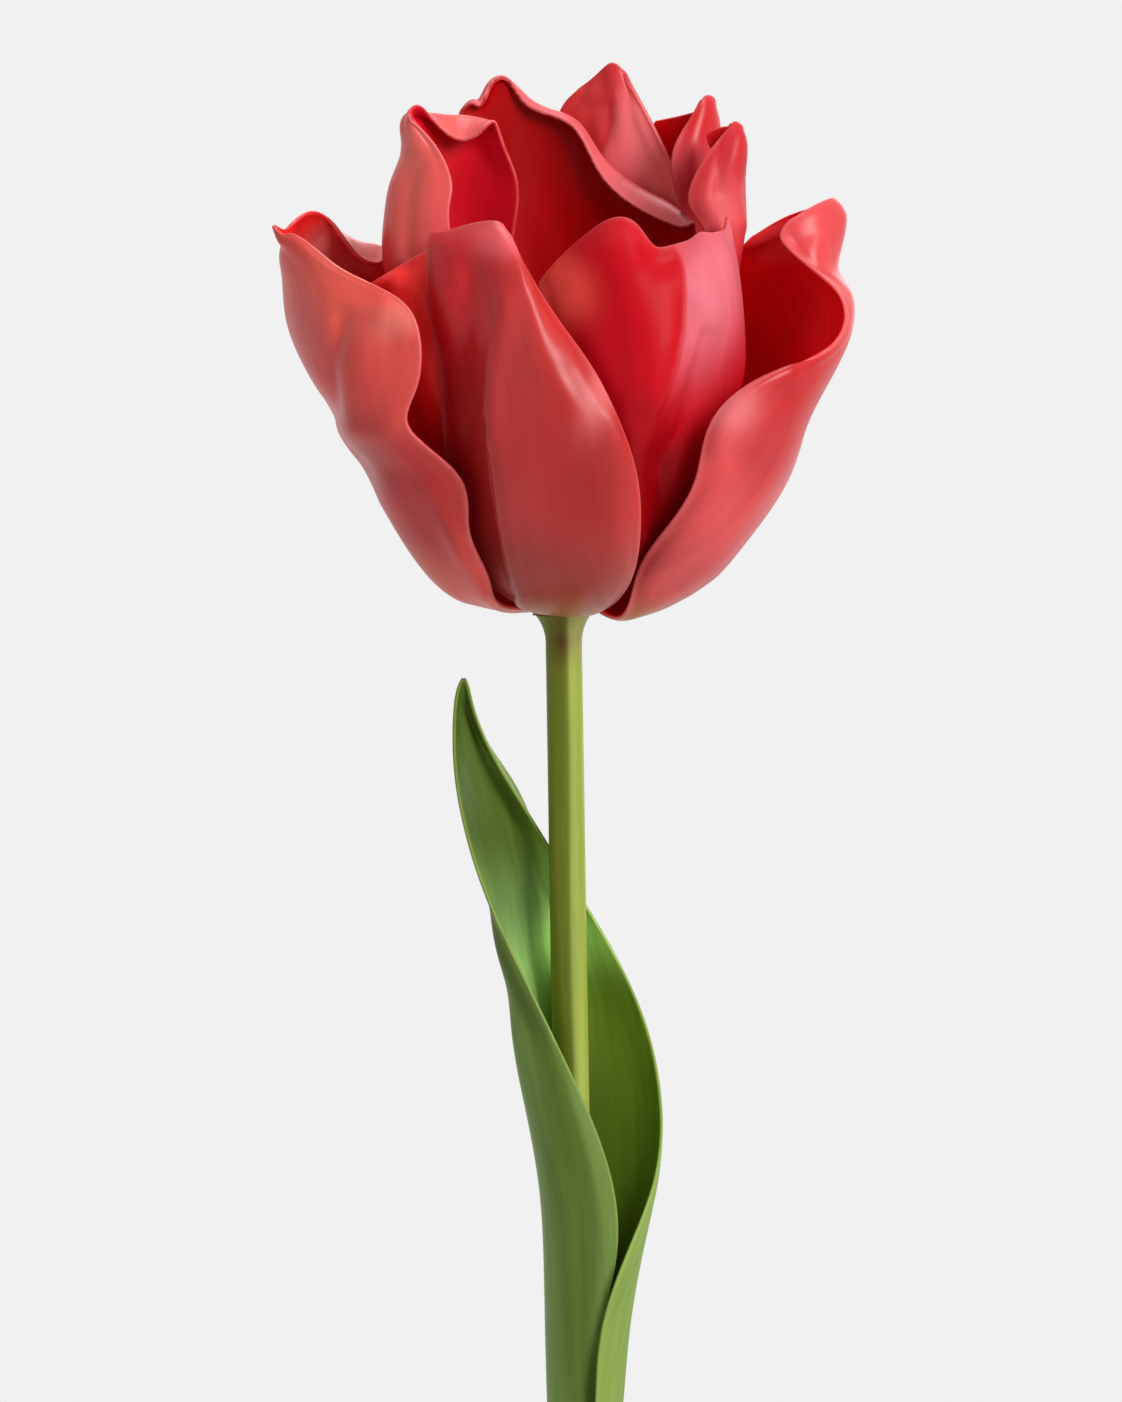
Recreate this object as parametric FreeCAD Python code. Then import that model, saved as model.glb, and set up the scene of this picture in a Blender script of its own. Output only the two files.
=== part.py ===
import FreeCAD, Part
import math
import os

# A carved and painted wooden tulip of the double kind, upright on its own stem axis.
# Millimetres, +Z up. The origin is the centre of the stem's foot, and the front faces -Y.
# Thirteen carved petals are glued round a turned core, which slips over the stem's tenon.
# One keeled leaf wraps the stem as a sheath and turns on it.

# Driving sizes of the whole
bloom_base_height = 250.0
bloom_width = 92.0
bloom_height = 90.0
stem_diameter = 5.8
pin_diameter = 6.0
petal_wall = 1.3
leaf_wall = 1.0

# Stem: an even pin at the foot, which thins to the stem's own width below the leaf
pin_length = 60.0
pin_taper = 12.0
collar_rise = 1.4
collar_diameter = 8.8
collar_height = 4.4
tenon_diameter = 4.0
tenon_length = 8.0
tenon_chamfer = 0.4

# Core that carries the petals
core_foot_diameter = 9.8
core_top_diameter = 7.4
core_height = 11.0
core_chamfer = 1.0
socket_clearance = 0.05
socket_end_gap = 0.4
glue_gap = 0.25

# Leaf
leaf_foot_height = 96.6
leaf_tip_drop = 8.4
leaf_flare = 14.0
leaf_running_gap = 0.4

# The height of each ring of petal feet, as a share of the core's height
outer_ring_share = 0.10
second_ring_share = 0.30
middle_ring_share = 0.50
inner_ring_share = 0.85

# The petals' edges are eased to this share of the wall
edge_share = 0.5

# Steps of the carved faces along and across a petal, and of the leaf
petal_steps = (15, 11)
leaf_steps = (22, 14)

# Evens out the spacing of a sheet's knots: 1 would follow the spans' lengths
span_share = 0.7

# Points closer than this share of the petal's wall are welded
weld_share = 0.001

# Diagonals that differ by less than this share count as equal
tie_share = 0.0001

# The tables below are hand-chosen hundredths. A petal's row runs round the bloom, seen from
# above against the clock, and its rows climb from just above the foot to the rim. Each point is
# (right, back, up): right and back of the axis in hundredths of the bloom's width, and up from
# the bloom's base in hundredths of the bloom's height.
hundredth_share = 0.01


# The broad front petal, folded along its left third
petal_outer_front_shares = [
    [(-8.6, -4.8, 4.4), (-8, -6.6, 4), (-7.2, -7.8, 3.5), (-5.6, -9.6, 2.8), (-0.6, -10.6, 2),
     (4.4, -9.6, 2), (7.2, -7.2, 2.8)],
    [(-14, -9, 9), (-12, -12.5, 8.6), (-8.6, -14.5, 8), (-9, -18, 7.5), (-1, -21.5, 6.5), (7, -20.5, 6),
     (11.4, -17, 7)],
    [(-18, -14, 19), (-15, -18, 18.5), (-10.6, -21.5, 18), (-11, -26.5, 18), (-1.5, -30.5, 17),
     (8, -29, 15.5), (13.4, -25, 16)],
    [(-19.6, -18, 28), (-16, -22.5, 28), (-11.8, -26.5, 28), (-12.1, -31, 28), (-2, -35, 27),
     (7.5, -34, 25.5), (13.1, -30, 25)],
    [(-20.3, -20.5, 38), (-16.5, -25, 38), (-12, -29.5, 38), (-11.9, -33, 38), (-3, -37, 37),
     (5.5, -36.5, 35), (10.6, -33, 33.8)],
    [(-20.6, -22, 47), (-17, -27, 48), (-13, -31.5, 48), (-10, -34.5, 48), (-4, -37.5, 46),
     (2, -37, 44), (6.3, -34, 44.3)],
    [(-22.5, -23, 56), (-19, -27, 57), (-14, -31, 58), (-9.2, -34.5, 57.5), (-5.5, -36.5, 56),
     (-2, -36, 54), (1.2, -33, 53.5)],
    [(-22.6, -23, 63.5), (-19.5, -26, 64.5), (-15, -29.5, 65), (-9.8, -32.5, 65.5), (-7, -34, 64),
     (-5, -33.5, 62.5), (-3, -31, 61.5)],
    [(-22.8, -22, 69.4), (-19.5, -23.5, 69.2), (-15.5, -25.5, 70.2), (-12, -27.5, 70.8),
     (-9.7, -28.6, 70.2), (-7.6, -28.8, 68.8), (-5.8, -28.6, 66.8)],
]

# The left petal: its tip bends out and its back margin rolls in
petal_outer_left_shares = [
    [(-6.9, 6, 5.6), (-8.7, 4.5, 4.5), (-9.8, 1.8, 3.5), (-10.2, -0.6, 3.1), (-10.3, -2.9, 2.9),
     (-10.5, -5.2, 3), (-10.6, -7.4, 3.4)],
    [(-10.8, 9.6, 11), (-15, 6, 8.2), (-18.3, 0, 6.3), (-18.5, -6, 6), (-16.5, -11, 6.5),
     (-14.3, -14.5, 7), (-12.7, -17, 8.3)],
    [(-16, 17, 18.5), (-22, 10, 16.8), (-26.2, 1, 15.8), (-26, -8, 15), (-23, -15, 15),
     (-19.2, -19.8, 15.3), (-15.9, -23, 16.5)],
    [(-17, 20, 30), (-26, 13, 28), (-32, 3, 26), (-32, -7, 25.5), (-28.5, -16, 25), (-23.5, -22, 25.5),
     (-17.4, -25.5, 26)],
    [(-20, 22, 40), (-30, 15, 38), (-37.4, 4, 36), (-37.6, -6, 35.5), (-35, -16, 34.5),
     (-30.5, -22, 34), (-25.8, -26, 34.5)],
    [(-23, 22, 49), (-33, 16, 48), (-41, 7, 47), (-43.5, -3, 46.5), (-41, -14, 44), (-34, -23, 43),
     (-24.6, -27.5, 41.5)],
    [(-25, 20, 56), (-35, 15, 57), (-43, 7, 56), (-46.5, -3, 54.5), (-44, -13, 53), (-36, -22.5, 51.5),
     (-23.7, -28, 49.5)],
    [(-27, 17, 61.5), (-36, 12, 63.5), (-43, 6, 63), (-46.9, -2, 62), (-45.5, -11, 60.5),
     (-38.5, -20, 58.5), (-27, -26, 57.2)],
    [(-29, 12, 67.2), (-34.5, 9.5, 68), (-41, 4, 69.5), (-46, -2, 67.5), (-47.3, -9, 66.3),
     (-43.5, -15.5, 64.6), (-37, -20.5, 62.9)],
    [(-29.5, 7, 64.4), (-34.6, 5, 65.6), (-39.5, 1, 72.3), (-43.3, -3.5, 73.5), (-46.5, -8, 71.3),
     (-49, -11.5, 70.6), (-43.5, -15, 69.2)],
]

# The right petal: a wide mouth below a folded tip
petal_outer_right_shares = [
    [(9.2, -6.6, 0.9), (9.6, -4.6, 0.9), (9.8, -2.5, 1.2), (9.8, -0.4, 1.6), (9.3, 1.9, 2.3),
     (8.8, 4.2, 3.6), (8, 6, 5.2)],
    [(12.6, -12.5, 8.3), (17, -11.5, 6), (20, -8, 5), (21.5, -2, 5.2), (20, 4, 7.5), (16.5, 7.6, 9.5),
     (14.5, 10.2, 11.2)],
    [(18, -21.5, 16.8), (24, -20, 14.5), (29, -13, 14), (31.7, -4, 15), (30, 5, 17), (25.5, 12, 18.5),
     (20, 17, 20)],
    [(24.3, -26, 25.5), (30, -24.5, 25), (36, -17, 25), (39, -6, 26), (37.5, 5, 28), (31, 14, 30),
     (22, 19, 33)],
    [(27.2, -27.5, 35), (34, -26.5, 34.5), (40, -19.5, 34.5), (42.4, -8, 35.5), (41, 4, 38),
     (35, 15, 40), (26, 20, 43)],
    [(35, -26, 42.8), (40, -24, 43), (44.5, -18, 43.5), (47, -8, 44), (44.5, 5, 48), (38, 15, 50),
     (29, 20, 52)],
    [(47.3, -17.5, 48.5), (48.5, -14.5, 49), (49.5, -11, 50), (49.6, -6, 51), (46, 6, 55), (40, 15, 57),
     (31, 19.5, 58)],
    [(49.8, -12, 57), (50, -9.5, 57), (50.1, -7, 57.5), (49.9, -3, 58), (46.5, 6, 61), (40.5, 13.5, 62),
     (32.5, 17.5, 62.5)],
    [(44.5, -12, 63.2), (46.5, -11, 63), (48.5, -8, 62.8), (49.5, -2, 63), (46.5, 6, 65.5),
     (40, 12, 67), (33, 15.5, 66.6)],
    [(38.4, -10, 69.3), (42.5, -9, 71.2), (47, -6, 73.4), (49.8, -1.5, 75), (45.5, 4, 73.9),
     (39, 9, 71.8), (33.8, 11, 65)],
]

# The two hidden petals at the back
petal_outer_back_left_shares = [
    [(-3, 17, 8), (-5, 19.5, 6), (-10, 18, 5.5), (-13, 14.5, 5.8), (-11.6, 12, 7.2)],
    [(-1, 29, 18), (-5, 30, 16), (-11, 30, 15), (-17.5, 27, 15.5), (-21.5, 20.5, 18)],
    [(1, 35, 31), (-5, 36, 29), (-13, 36, 28), (-22, 32, 29), (-27.5, 24, 30)],
    [(2, 37, 46), (-6, 39, 46), (-16, 39.5, 46), (-25, 35, 46), (-31, 27, 45)],
    [(1, 36, 58), (-7, 38.5, 62), (-16.5, 38.5, 62), (-25, 34, 60), (-29.5, 28, 56)],
    [(-2.5, 33, 65), (-8, 36, 70.5), (-14, 36, 74), (-20.5, 33, 70), (-25, 29, 63)],
]
petal_outer_back_right_shares = [
    [(12, 11.8, 7.2), (13.5, 14, 6.2), (9, 18, 5.5), (4, 17.5, 6), (-0.5, 14.5, 8)],
    [(21.5, 20.5, 18), (17.5, 27, 15.5), (10, 29, 15), (3, 27.5, 16), (-2.5, 24, 18)],
    [(27.5, 24, 30), (22, 32, 29), (13, 35, 28), (4, 33.5, 29), (-2, 29, 31)],
    [(31, 27, 45), (25, 35, 46), (16, 39, 46), (6, 36, 46), (-2, 31, 46)],
    [(29.5, 28, 56), (25, 34, 60), (16.5, 38.5, 62), (7, 36, 62), (0, 31.5, 59)],
    [(25, 29, 63), (21.5, 33.5, 70), (15.5, 36, 76), (9, 35, 72), (3, 31.5, 66)],
]

# The front right petal of two lobes, which shows behind the front petal
petal_middle_front_right_shares = [
    [(2, -18, 17), (7, -19, 16), (12, -18.5, 15.5), (15, -15.5, 15.5), (18, -13.5, 16), (20.5, -9, 17),
     (20, -4, 19)],
    [(0, -24, 30), (7, -26.5, 29.5), (13, -27, 29), (16.5, -23.5, 30), (20.5, -22, 30), (26, -15, 31),
     (26.5, -8, 33)],
    [(-1, -26, 42), (6, -29.5, 42), (13.5, -31, 41.5), (19.6, -28.5, 41), (22, -24.5, 43),
     (30.3, -17.5, 43), (30.5, -10, 45)],
    [(-2, -25.5, 52), (5, -29.5, 53), (14, -31.5, 53), (21.3, -27.5, 53), (25, -26.5, 54),
     (32.2, -17.5, 54), (31.5, -10, 56)],
    [(-3, -23, 58), (4, -27, 62), (12, -29.5, 63), (19.5, -26.5, 61.5), (25, -24.5, 62),
     (31.2, -16, 63), (30.5, -9.5, 64.5)],
    [(-3.6, -21, 60), (5.5, -24.5, 68.6), (12.5, -26, 70.8), (18.5, -23.5, 66.4), (24.5, -22, 67.7),
     (28.8, -15.5, 69.2), (29.6, -10.5, 72.6)],
]

# The small petal that shows between the left and the front one
petal_middle_front_left_shares = [
    [(-24, -10, 30), (-21.5, -14.5, 30), (-18, -17, 30), (-14, -18.5, 30), (-9, -19.5, 30)],
    [(-30, -12, 45), (-27, -17, 45), (-23, -19.5, 45), (-18, -20.5, 45), (-12, -21.5, 45)],
    [(-33, -12.5, 55), (-29, -17.5, 55.5), (-24.5, -19.8, 56), (-19, -20.5, 57), (-13, -21, 58)],
    [(-34, -12, 59.5), (-30, -15.5, 61.8), (-25.5, -17.8, 64.5), (-20, -19, 67), (-14, -20, 66)],
]

# The hidden petal of the middle ring
petal_middle_back_left_shares = [
    [(0, 11.5, 15), (-3.5, 12, 14.5), (-7, 11, 14.5), (-10, 8.5, 15), (-12, 5.5, 16)],
    [(3, 22.5, 30), (-3, 23.5, 29), (-9, 22.5, 29), (-14.5, 19.5, 30), (-17.5, 13.5, 31)],
    [(4, 26, 50), (-3, 27.5, 50), (-11, 26.5, 50), (-18, 22, 50), (-22, 15, 50)],
    [(3, 26.5, 66), (-3, 27.5, 69), (-10, 26.5, 71), (-17, 22, 70), (-21, 16, 67)],
    [(0, 25.5, 74), (-4, 25.5, 80), (-9.5, 24.5, 84), (-14.5, 21.5, 79), (-18, 18, 74)],
]

# The tall peak
petal_middle_back_shares = [
    [(8.5, 5, 15), (7, 7, 15), (5, 8.5, 15), (2.8, 9, 15), (0.8, 9, 15)],
    [(19, 12, 30), (14, 16, 30), (9, 18, 30), (4, 20, 30), (-1, 20, 30)],
    [(23, 13, 50), (18, 18, 50), (12, 20, 50), (5, 23, 50), (-2, 23, 50)],
    [(23.5, 12, 68), (18, 16.5, 70), (11.5, 18, 70), (5, 21.5, 72), (-1, 22.5, 74)],
    [(21, 12.5, 79), (16, 15.5, 82), (9.8, 16.5, 83), (5, 19.5, 84), (-0.5, 21, 86)],
    [(16.3, 13.8, 90), (13.8, 15.2, 91), (10.8, 15.8, 91.5), (6, 18, 91), (1, 19.5, 92)],
    [(12.3, 14.5, 97.3), (11.6, 15, 98.8), (9.8, 15, 99.8), (7, 16.5, 97.6), (3.5, 18, 95)],
]

# The petal on the right, folded round the peak's edge
petal_middle_right_shares = [
    [(14.5, 2, 15), (16, 5, 14), (16, 9, 14), (13.5, 12.5, 14.5), (9.5, 14, 16)],
    [(21.5, 4.5, 35), (24.5, 7, 35), (25, 12, 35), (22, 17, 35), (16, 20, 35)],
    [(26.3, 6, 55), (28, 8.5, 55), (29, 14, 55), (25, 20, 55), (17, 24, 55)],
    [(26, 6, 72), (27.8, 7.8, 72), (29, 12, 72), (25, 19, 72), (16.5, 22, 72)],
    [(22.4, 4.5, 84), (25.5, 6, 84), (28.4, 11, 84.5), (24.5, 17, 84), (16.5, 20, 83)],
    [(25, 7, 91.3), (26.2, 8, 93.5), (27.5, 11, 92.4), (22.5, 16, 90.4), (16.5, 18.5, 89.3)],
]

# The scrolled petal on the left
petal_inner_left_shares = [
    [(-7, 3, 35), (-13, 4, 35), (-19, 2, 35), (-21, -4, 35), (-19, -10, 35), (-15, -13, 35),
     (-10, -15, 35)],
    [(-7, 3, 52), (-14, 5, 52), (-22, 2, 52), (-26, -5, 52), (-24, -12, 52), (-19, -15, 52),
     (-13, -17, 52)],
    [(-8, 2, 64), (-15, 4.5, 64), (-24, 2, 64), (-29, -6, 64), (-27.5, -13, 64), (-23, -15.5, 63),
     (-17, -17, 62)],
    [(-7, 1, 72.5), (-15, 4, 73), (-24, 2, 72), (-29, -6, 72), (-27, -13.5, 71.5), (-23, -16.5, 71),
     (-18.6, -17.5, 72.5)],
    [(-6.8, 1, 78.5), (-14, 4, 80), (-22.5, 2.5, 79), (-28, -5, 78.5), (-26, -12, 78.3),
     (-22, -15.5, 78), (-18, -17, 77.5)],
    [(-9, 1, 85), (-14.5, 4.5, 86), (-20.5, 3, 86.5), (-25.8, -3, 85.5), (-25, -9, 85),
     (-22.6, -12, 84.7), (-20.3, -14, 84)],
    [(-10.3, 1, 88.8), (-15, 4, 89.6), (-20, 2.5, 90.2), (-25.6, -2, 90), (-25.6, -5, 88.8),
     (-24.9, -7, 88.6), (-23.4, -9, 88)],
    [(-11.2, -1, 89.3), (-15.5, 0, 85.8), (-19.8, -0.5, 87.8), (-22.5, -2, 91.4), (-24.2, -4, 92.1),
     (-25.3, -5.5, 91), (-24.8, -7.5, 89.5)],
]

# The wide hollow petal at the heart, its right margin rolled in
petal_inner_back_shares = [
    [(9, 3.5, 20), (7.5, 6, 20), (5, 7.6, 20), (1, 8.3, 20), (-3, 7.8, 20), (-5.8, 6.3, 20),
     (-7.6, 4, 20)],
    [(16, 8, 30), (11, 12, 30), (6, 14.5, 30), (0, 15.5, 30), (-6, 14.5, 30), (-10, 12, 30),
     (-12.5, 8, 30)],
    [(22, 8, 50), (15, 14, 50), (8, 17, 50), (0, 18.5, 50), (-8, 17, 50), (-13, 13.5, 50),
     (-16, 8.5, 50)],
    [(24, 5.5, 62), (17, 12.6, 64), (9, 16.5, 66), (0, 18, 68), (-8, 16.5, 70), (-13, 13, 70),
     (-16.5, 8.5, 70)],
    [(24.3, 4.6, 67.5), (17.5, 11.6, 70.5), (9.5, 15, 75), (1, 17, 82), (-6.5, 16, 85), (-11.5, 13, 86),
     (-17, 9, 83)],
    [(23.7, 4, 70.6), (17, 10, 75), (9, 13.3, 81), (3, 15, 89.3), (-4.5, 14.8, 93), (-9.5, 13, 96.8),
     (-16.6, 9.5, 91)],
    [(23.3, 2.6, 69.8), (16, 7.8, 73.4), (7.8, 11, 80.3), (2.5, 12.8, 88.7), (-5.3, 13, 92.6),
     (-9, 11.5, 97.3), (-15.2, 8, 92)],
]

# The scrolled petal on the right
petal_inner_right_shares = [
    [(21, -8, 35), (24.5, -7, 35), (26, -3, 35), (25, 0, 35), (22, 1, 35)],
    [(25, -9, 55), (28, -8, 55), (29.5, -3.5, 55), (28, 0.2, 55), (25, 1, 55)],
    [(27.8, -7.5, 70.6), (29.6, -7, 70.3), (32, -3, 70), (29.5, 0, 70), (27, 0.5, 70)],
    [(22.6, -8, 74.3), (27, -8, 75), (31.9, -3, 76), (30, 0, 77), (27.5, 0.8, 77)],
    [(25.7, -7, 82), (29.5, -6.5, 82.5), (32.4, -3, 83), (30, -0.6, 83), (27.2, -0.2, 82.5)],
    [(30.2, -4.5, 87.6), (31, -3.8, 88.4), (31.9, -2.8, 87.6), (29, -1.2, 87.6), (25.5, -0.7, 86.1)],
]

# The leaf's rows climb from its foot to its tip. Each holds its height, in hundredths of the
# leaf's length, and the points from the left margin round the back of the stem to the right
# margin: an angle in degrees and the stand-off from the sheath, in hundredths of the flare.
leaf_shares = [
    (0, [(-70, 0), (-125, 0), (-180, 0), (-235, 0), (-290, 1), (-350, 6), (-412, 11)]),
    (10.6, [(-66, 4), (-120, 2), (-180, 1), (-235, 1), (-290, 3), (-350, 13), (-422, 17)]),
    (20.3, [(-62, 13), (-110, 7), (-178, 2), (-235, 2), (-295, 6), (-352, 24), (-427, 31)]),
    (28.6, [(-54, 26), (-105, 13), (-177, 3), (-235, 3), (-300, 10), (-355, 33), (-420, 36)]),
    (36.8, [(-42, 40), (-100, 24), (-170, 4), (-235, 3), (-305, 16), (-357, 47), (-402, 56)]),
    (45, [(-52, 45), (-105, 31), (-165, 10), (-235, 4), (-305, 21), (-350, 60), (-375, 71)]),
    (53.4, [(-76, 34), (-115, 33), (-165, 25), (-230, 5), (-300, 23), (-345, 59), (-366, 75)]),
    (61.7, [(-114, 33), (-140, 34), (-168, 37), (-225, 8), (-295, 19), (-335, 40), (-358, 59)]),
    (70, [(-148, 49), (-170, 53), (-202, 37), (-247, 26), (-283, 19), (-317, 19), (-346, 23)]),
    (78.2, [(-172, 75), (-187, 58), (-207, 44), (-238, 32), (-243, 23), (-253, 13), (-269, 4)]),
    (86.5, [(-177, 96), (-186, 72), (-198, 56), (-212, 44), (-208, 36), (-200, 31), (-189, 27)]),
    (92, [(-182, 101), (-187, 91), (-192, 82), (-197, 73), (-195, 67), (-191, 62), (-186.5, 59)]),
    (97.5, [(-184, 96), (-186, 94), (-187.5, 91), (-189, 87), (-188, 86), (-187, 82), (-185.5, 80)]),
    (100, [(-185, 90), (-185.4, 89), (-185.8, 88), (-186.2, 87), (-186, 86.5), (-185.8, 86), (-185.5, 85)]),
]

# Each petal: its table, the ring of feet that it stands in, and the angles, in degrees from the
# right, between which its foot follows the core
petals = {
    "petal_outer_front": (petal_outer_front_shares, outer_ring_share, -156, -38),
    "petal_outer_left": (petal_outer_left_shares, outer_ring_share, 141, 197),
    "petal_outer_right": (petal_outer_right_shares, outer_ring_share, -34, 38),
    "petal_outer_back_left": (petal_outer_back_left_shares, outer_ring_share, 93, 131),
    "petal_outer_back_right": (petal_outer_back_right_shares, outer_ring_share, 48, 90),
    "petal_middle_front_right": (petal_middle_front_right_shares, middle_ring_share, -72, -10),
    "petal_middle_front_left": (petal_middle_front_left_shares, middle_ring_share, 200, 255),
    "petal_middle_back_left": (petal_middle_back_left_shares, second_ring_share, 118, 188),
    "petal_middle_back": (petal_middle_back_shares, middle_ring_share, 62, 112),
    "petal_middle_right": (petal_middle_right_shares, second_ring_share, 5, 52),
    "petal_inner_left": (petal_inner_left_shares, inner_ring_share, 150, 235),
    "petal_inner_back": (petal_inner_back_shares, inner_ring_share, 30, 140),
    "petal_inner_right": (petal_inner_right_shares, inner_ring_share, -50, 20),
}

# Sizes that follow from the ones above
stem_radius = stem_diameter / 2
pin_radius = pin_diameter / 2
collar_radius = collar_diameter / 2
collar_top = bloom_base_height + collar_rise
collar_foot = collar_top - collar_height
tenon_radius = tenon_diameter / 2
core_foot_radius = core_foot_diameter / 2
core_top_radius = core_top_diameter / 2
sheath_radius = stem_radius + leaf_running_gap + leaf_wall / 2
leaf_length = bloom_base_height - leaf_tip_drop - leaf_foot_height


def core_radius(ring_share):
    """Radius of the core at a share of its height."""
    return core_foot_radius + (core_top_radius - core_foot_radius) * ring_share


def foot_row(ring_share, start_angle, end_angle, count):
    """Points of a petal's foot, which follows the core just off its surface."""
    radius = core_radius(ring_share) + glue_gap + petal_wall / 2
    height = collar_top + core_height * ring_share
    row = []
    for index in range(count):
        angle = math.radians(start_angle + (end_angle - start_angle) * index / (count - 1))
        row.append(FreeCAD.Vector(radius * math.cos(angle), radius * math.sin(angle), height))
    return row


def bloom_point(right, back, up):
    """A point of the bloom from its hundredths."""
    unit_width = bloom_width * hundredth_share
    unit_height = bloom_height * hundredth_share
    return FreeCAD.Vector(right * unit_width, back * unit_width, bloom_base_height + up * unit_height)


def leaf_point(height_share, angle, flare_share):
    """A point of the leaf from its angle round the stem and its hundredths."""
    radius = sheath_radius + flare_share * hundredth_share * leaf_flare
    height = leaf_foot_height + height_share * hundredth_share * leaf_length
    turn = math.radians(angle)
    return FreeCAD.Vector(radius * math.cos(turn), radius * math.sin(turn), height)


def knots(lines):
    """Knot values from 0 to 1 along lines of points: longer spans get more, evened out."""
    spans = []
    for k in range(len(lines[0]) - 1):
        spans.append(sum(line[k].distanceToPoint(line[k + 1]) for line in lines) ** span_share)
    total = sum(spans)
    return [sum(spans[:k]) / total for k in range(len(spans) + 1)]


def resampled(lines, steps):
    """The same lines of points, each replaced by even steps along one smooth curve through it."""
    values = knots(lines)
    result = []
    for line in lines:
        curve = Part.BSplineCurve()
        curve.interpolate(Points=line, Parameters=values)
        result.append([curve.value(k / steps) for k in range(steps + 1)])
    return result


def transposed(lines):
    return [list(line) for line in zip(*lines)]


def carved_sheet(rows, wall, steps, eased_foot):
    """A curved sheet of even wall through the rows, cut in flat facets, with eased edges."""
    along, across = steps
    sheet = transposed(resampled(transposed(resampled(rows, across)), along))
    rings = []
    for i in range(along + 1):
        outer = []
        inner = []
        for j in range(across + 1):
            down_line = sheet[min(i + 1, along)][j] - sheet[max(i - 1, 0)][j]
            across_line = sheet[i][min(j + 1, across)] - sheet[i][max(j - 1, 0)]
            at_edge = j in (0, across) or i == along or (i == 0 and eased_foot)
            half = wall / 2 * (edge_share if at_edge else 1)
            offset = across_line.cross(down_line).normalize() * half
            outer.append(sheet[i][j] + offset)
            inner.append(sheet[i][j] - offset)
        rings.append(outer + inner[::-1])
    return facet_solid(rings)


def facet_solid(rings):
    """A closed solid of triangles over closed rings of points, with both ends capped."""
    count = len(rings[0])
    points = [point for ring in rings for point in ring]
    triangles = []
    for level in range(len(rings) - 1):
        for k in range(count):
            a = level * count + k
            b = level * count + (k + 1) % count
            triangles += split_quad(points, a, b, b + count, a + count)
    for first in (0, len(points) - count):
        for k in range(count // 2 - 1):
            near = first + k
            far = first + count - 1 - k
            triangles += split_quad(points, near, near + 1, far - 1, far)
    shape = Part.Shape()
    shape.makeShapeFromMesh((points, triangles), weld_share * petal_wall)
    solid = Part.Solid(Part.Shell(shape.Faces))
    if solid.Volume < 0:
        solid.reverse()
    return solid


def split_quad(points, a, b, c, d):
    """Two triangles over a quad, parted along its shorter diagonal."""
    if points[a].distanceToPoint(points[c]) * (1 + tie_share) < points[b].distanceToPoint(points[d]):
        return [(a, b, c), (a, c, d)]
    return [(a, b, d), (b, c, d)]


def revolved(profile):
    """A turned solid from a closed outline in the XZ plane."""
    return Part.Face(Part.Wire(profile)).revolve(FreeCAD.Vector(), FreeCAD.Vector(0, 0, 1), 360)


def outline_point(radius, height):
    return FreeCAD.Vector(radius, 0, height)


def outline_lines(points):
    """Straight edges through (radius, height) points."""
    corners = [outline_point(radius, height) for radius, height in points]
    return [Part.makeLine(start, end) for start, end in zip(corners, corners[1:])]


def flare_edge():
    """The stem's flare under the bloom: an arc that leaves the stem upright."""
    spread = collar_radius - stem_radius
    bend_radius = (collar_height ** 2 + spread ** 2) / (2 * spread)
    half_turn = math.atan(spread / collar_height)
    return Part.Arc(
        outline_point(stem_radius, collar_foot),
        outline_point(stem_radius + bend_radius * (1 - math.cos(half_turn)),
                      collar_foot + bend_radius * math.sin(half_turn)),
        outline_point(collar_radius, collar_top),
    ).toShape()


def stem():
    """Turned dowel: an even pin at the foot, the slimmer stem, a flared collar and a tenon."""
    lower = outline_lines([
        (0, 0),
        (pin_radius, 0),
        (pin_radius, pin_length),
        (stem_radius, pin_length + pin_taper),
        (stem_radius, collar_foot),
    ])
    upper = outline_lines([
        (collar_radius, collar_top),
        (tenon_radius, collar_top),
        (tenon_radius, collar_top + tenon_length - tenon_chamfer),
        (tenon_radius - tenon_chamfer, collar_top + tenon_length),
        (0, collar_top + tenon_length),
        (0, 0),
    ])
    return revolved(lower + [flare_edge()] + upper)


def bloom_core():
    """Turned core with a blind socket that slips over the tenon."""
    top = collar_top + core_height
    socket_radius = tenon_radius + socket_clearance
    socket_top = collar_top + tenon_length + socket_end_gap
    return revolved(outline_lines([
        (0, socket_top),
        (socket_radius, socket_top),
        (socket_radius, collar_top),
        (core_foot_radius, collar_top),
        (core_top_radius, top - core_chamfer),
        (core_top_radius - core_chamfer, top),
        (0, top),
        (0, socket_top),
    ]))


def petal(shares, ring_share, start_angle, end_angle):
    """One carved petal from its foot on the core to its rim."""
    rows = [foot_row(ring_share, start_angle, end_angle, len(shares[0]))]
    rows += [[bloom_point(*point) for point in row] for row in shares]
    return carved_sheet(rows, petal_wall, petal_steps, False)


def leaf():
    """The keeled leaf, whose lower half wraps the stem as an open sheath."""
    rows = [[leaf_point(height_share, *point) for point in row] for height_share, row in leaf_shares]
    return carved_sheet(rows, leaf_wall, leaf_steps, True)


def save(name, shape):
    shape.exportStep("parts/" + name + ".step")
    print(name, "solids", len(shape.Solids), "valid", shape.isValid(), "volume", round(shape.Volume, 1))


os.makedirs("parts", exist_ok=True)
save("stem", stem())
save("bloom_core", bloom_core())
for name, (shares, ring_share, start_angle, end_angle) in petals.items():
    save(name, petal(shares, ring_share, start_angle, end_angle))
save("leaf", leaf())
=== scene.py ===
import bmesh
import bpy
import math
import numpy as np
from mathutils import Matrix, Vector


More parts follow.
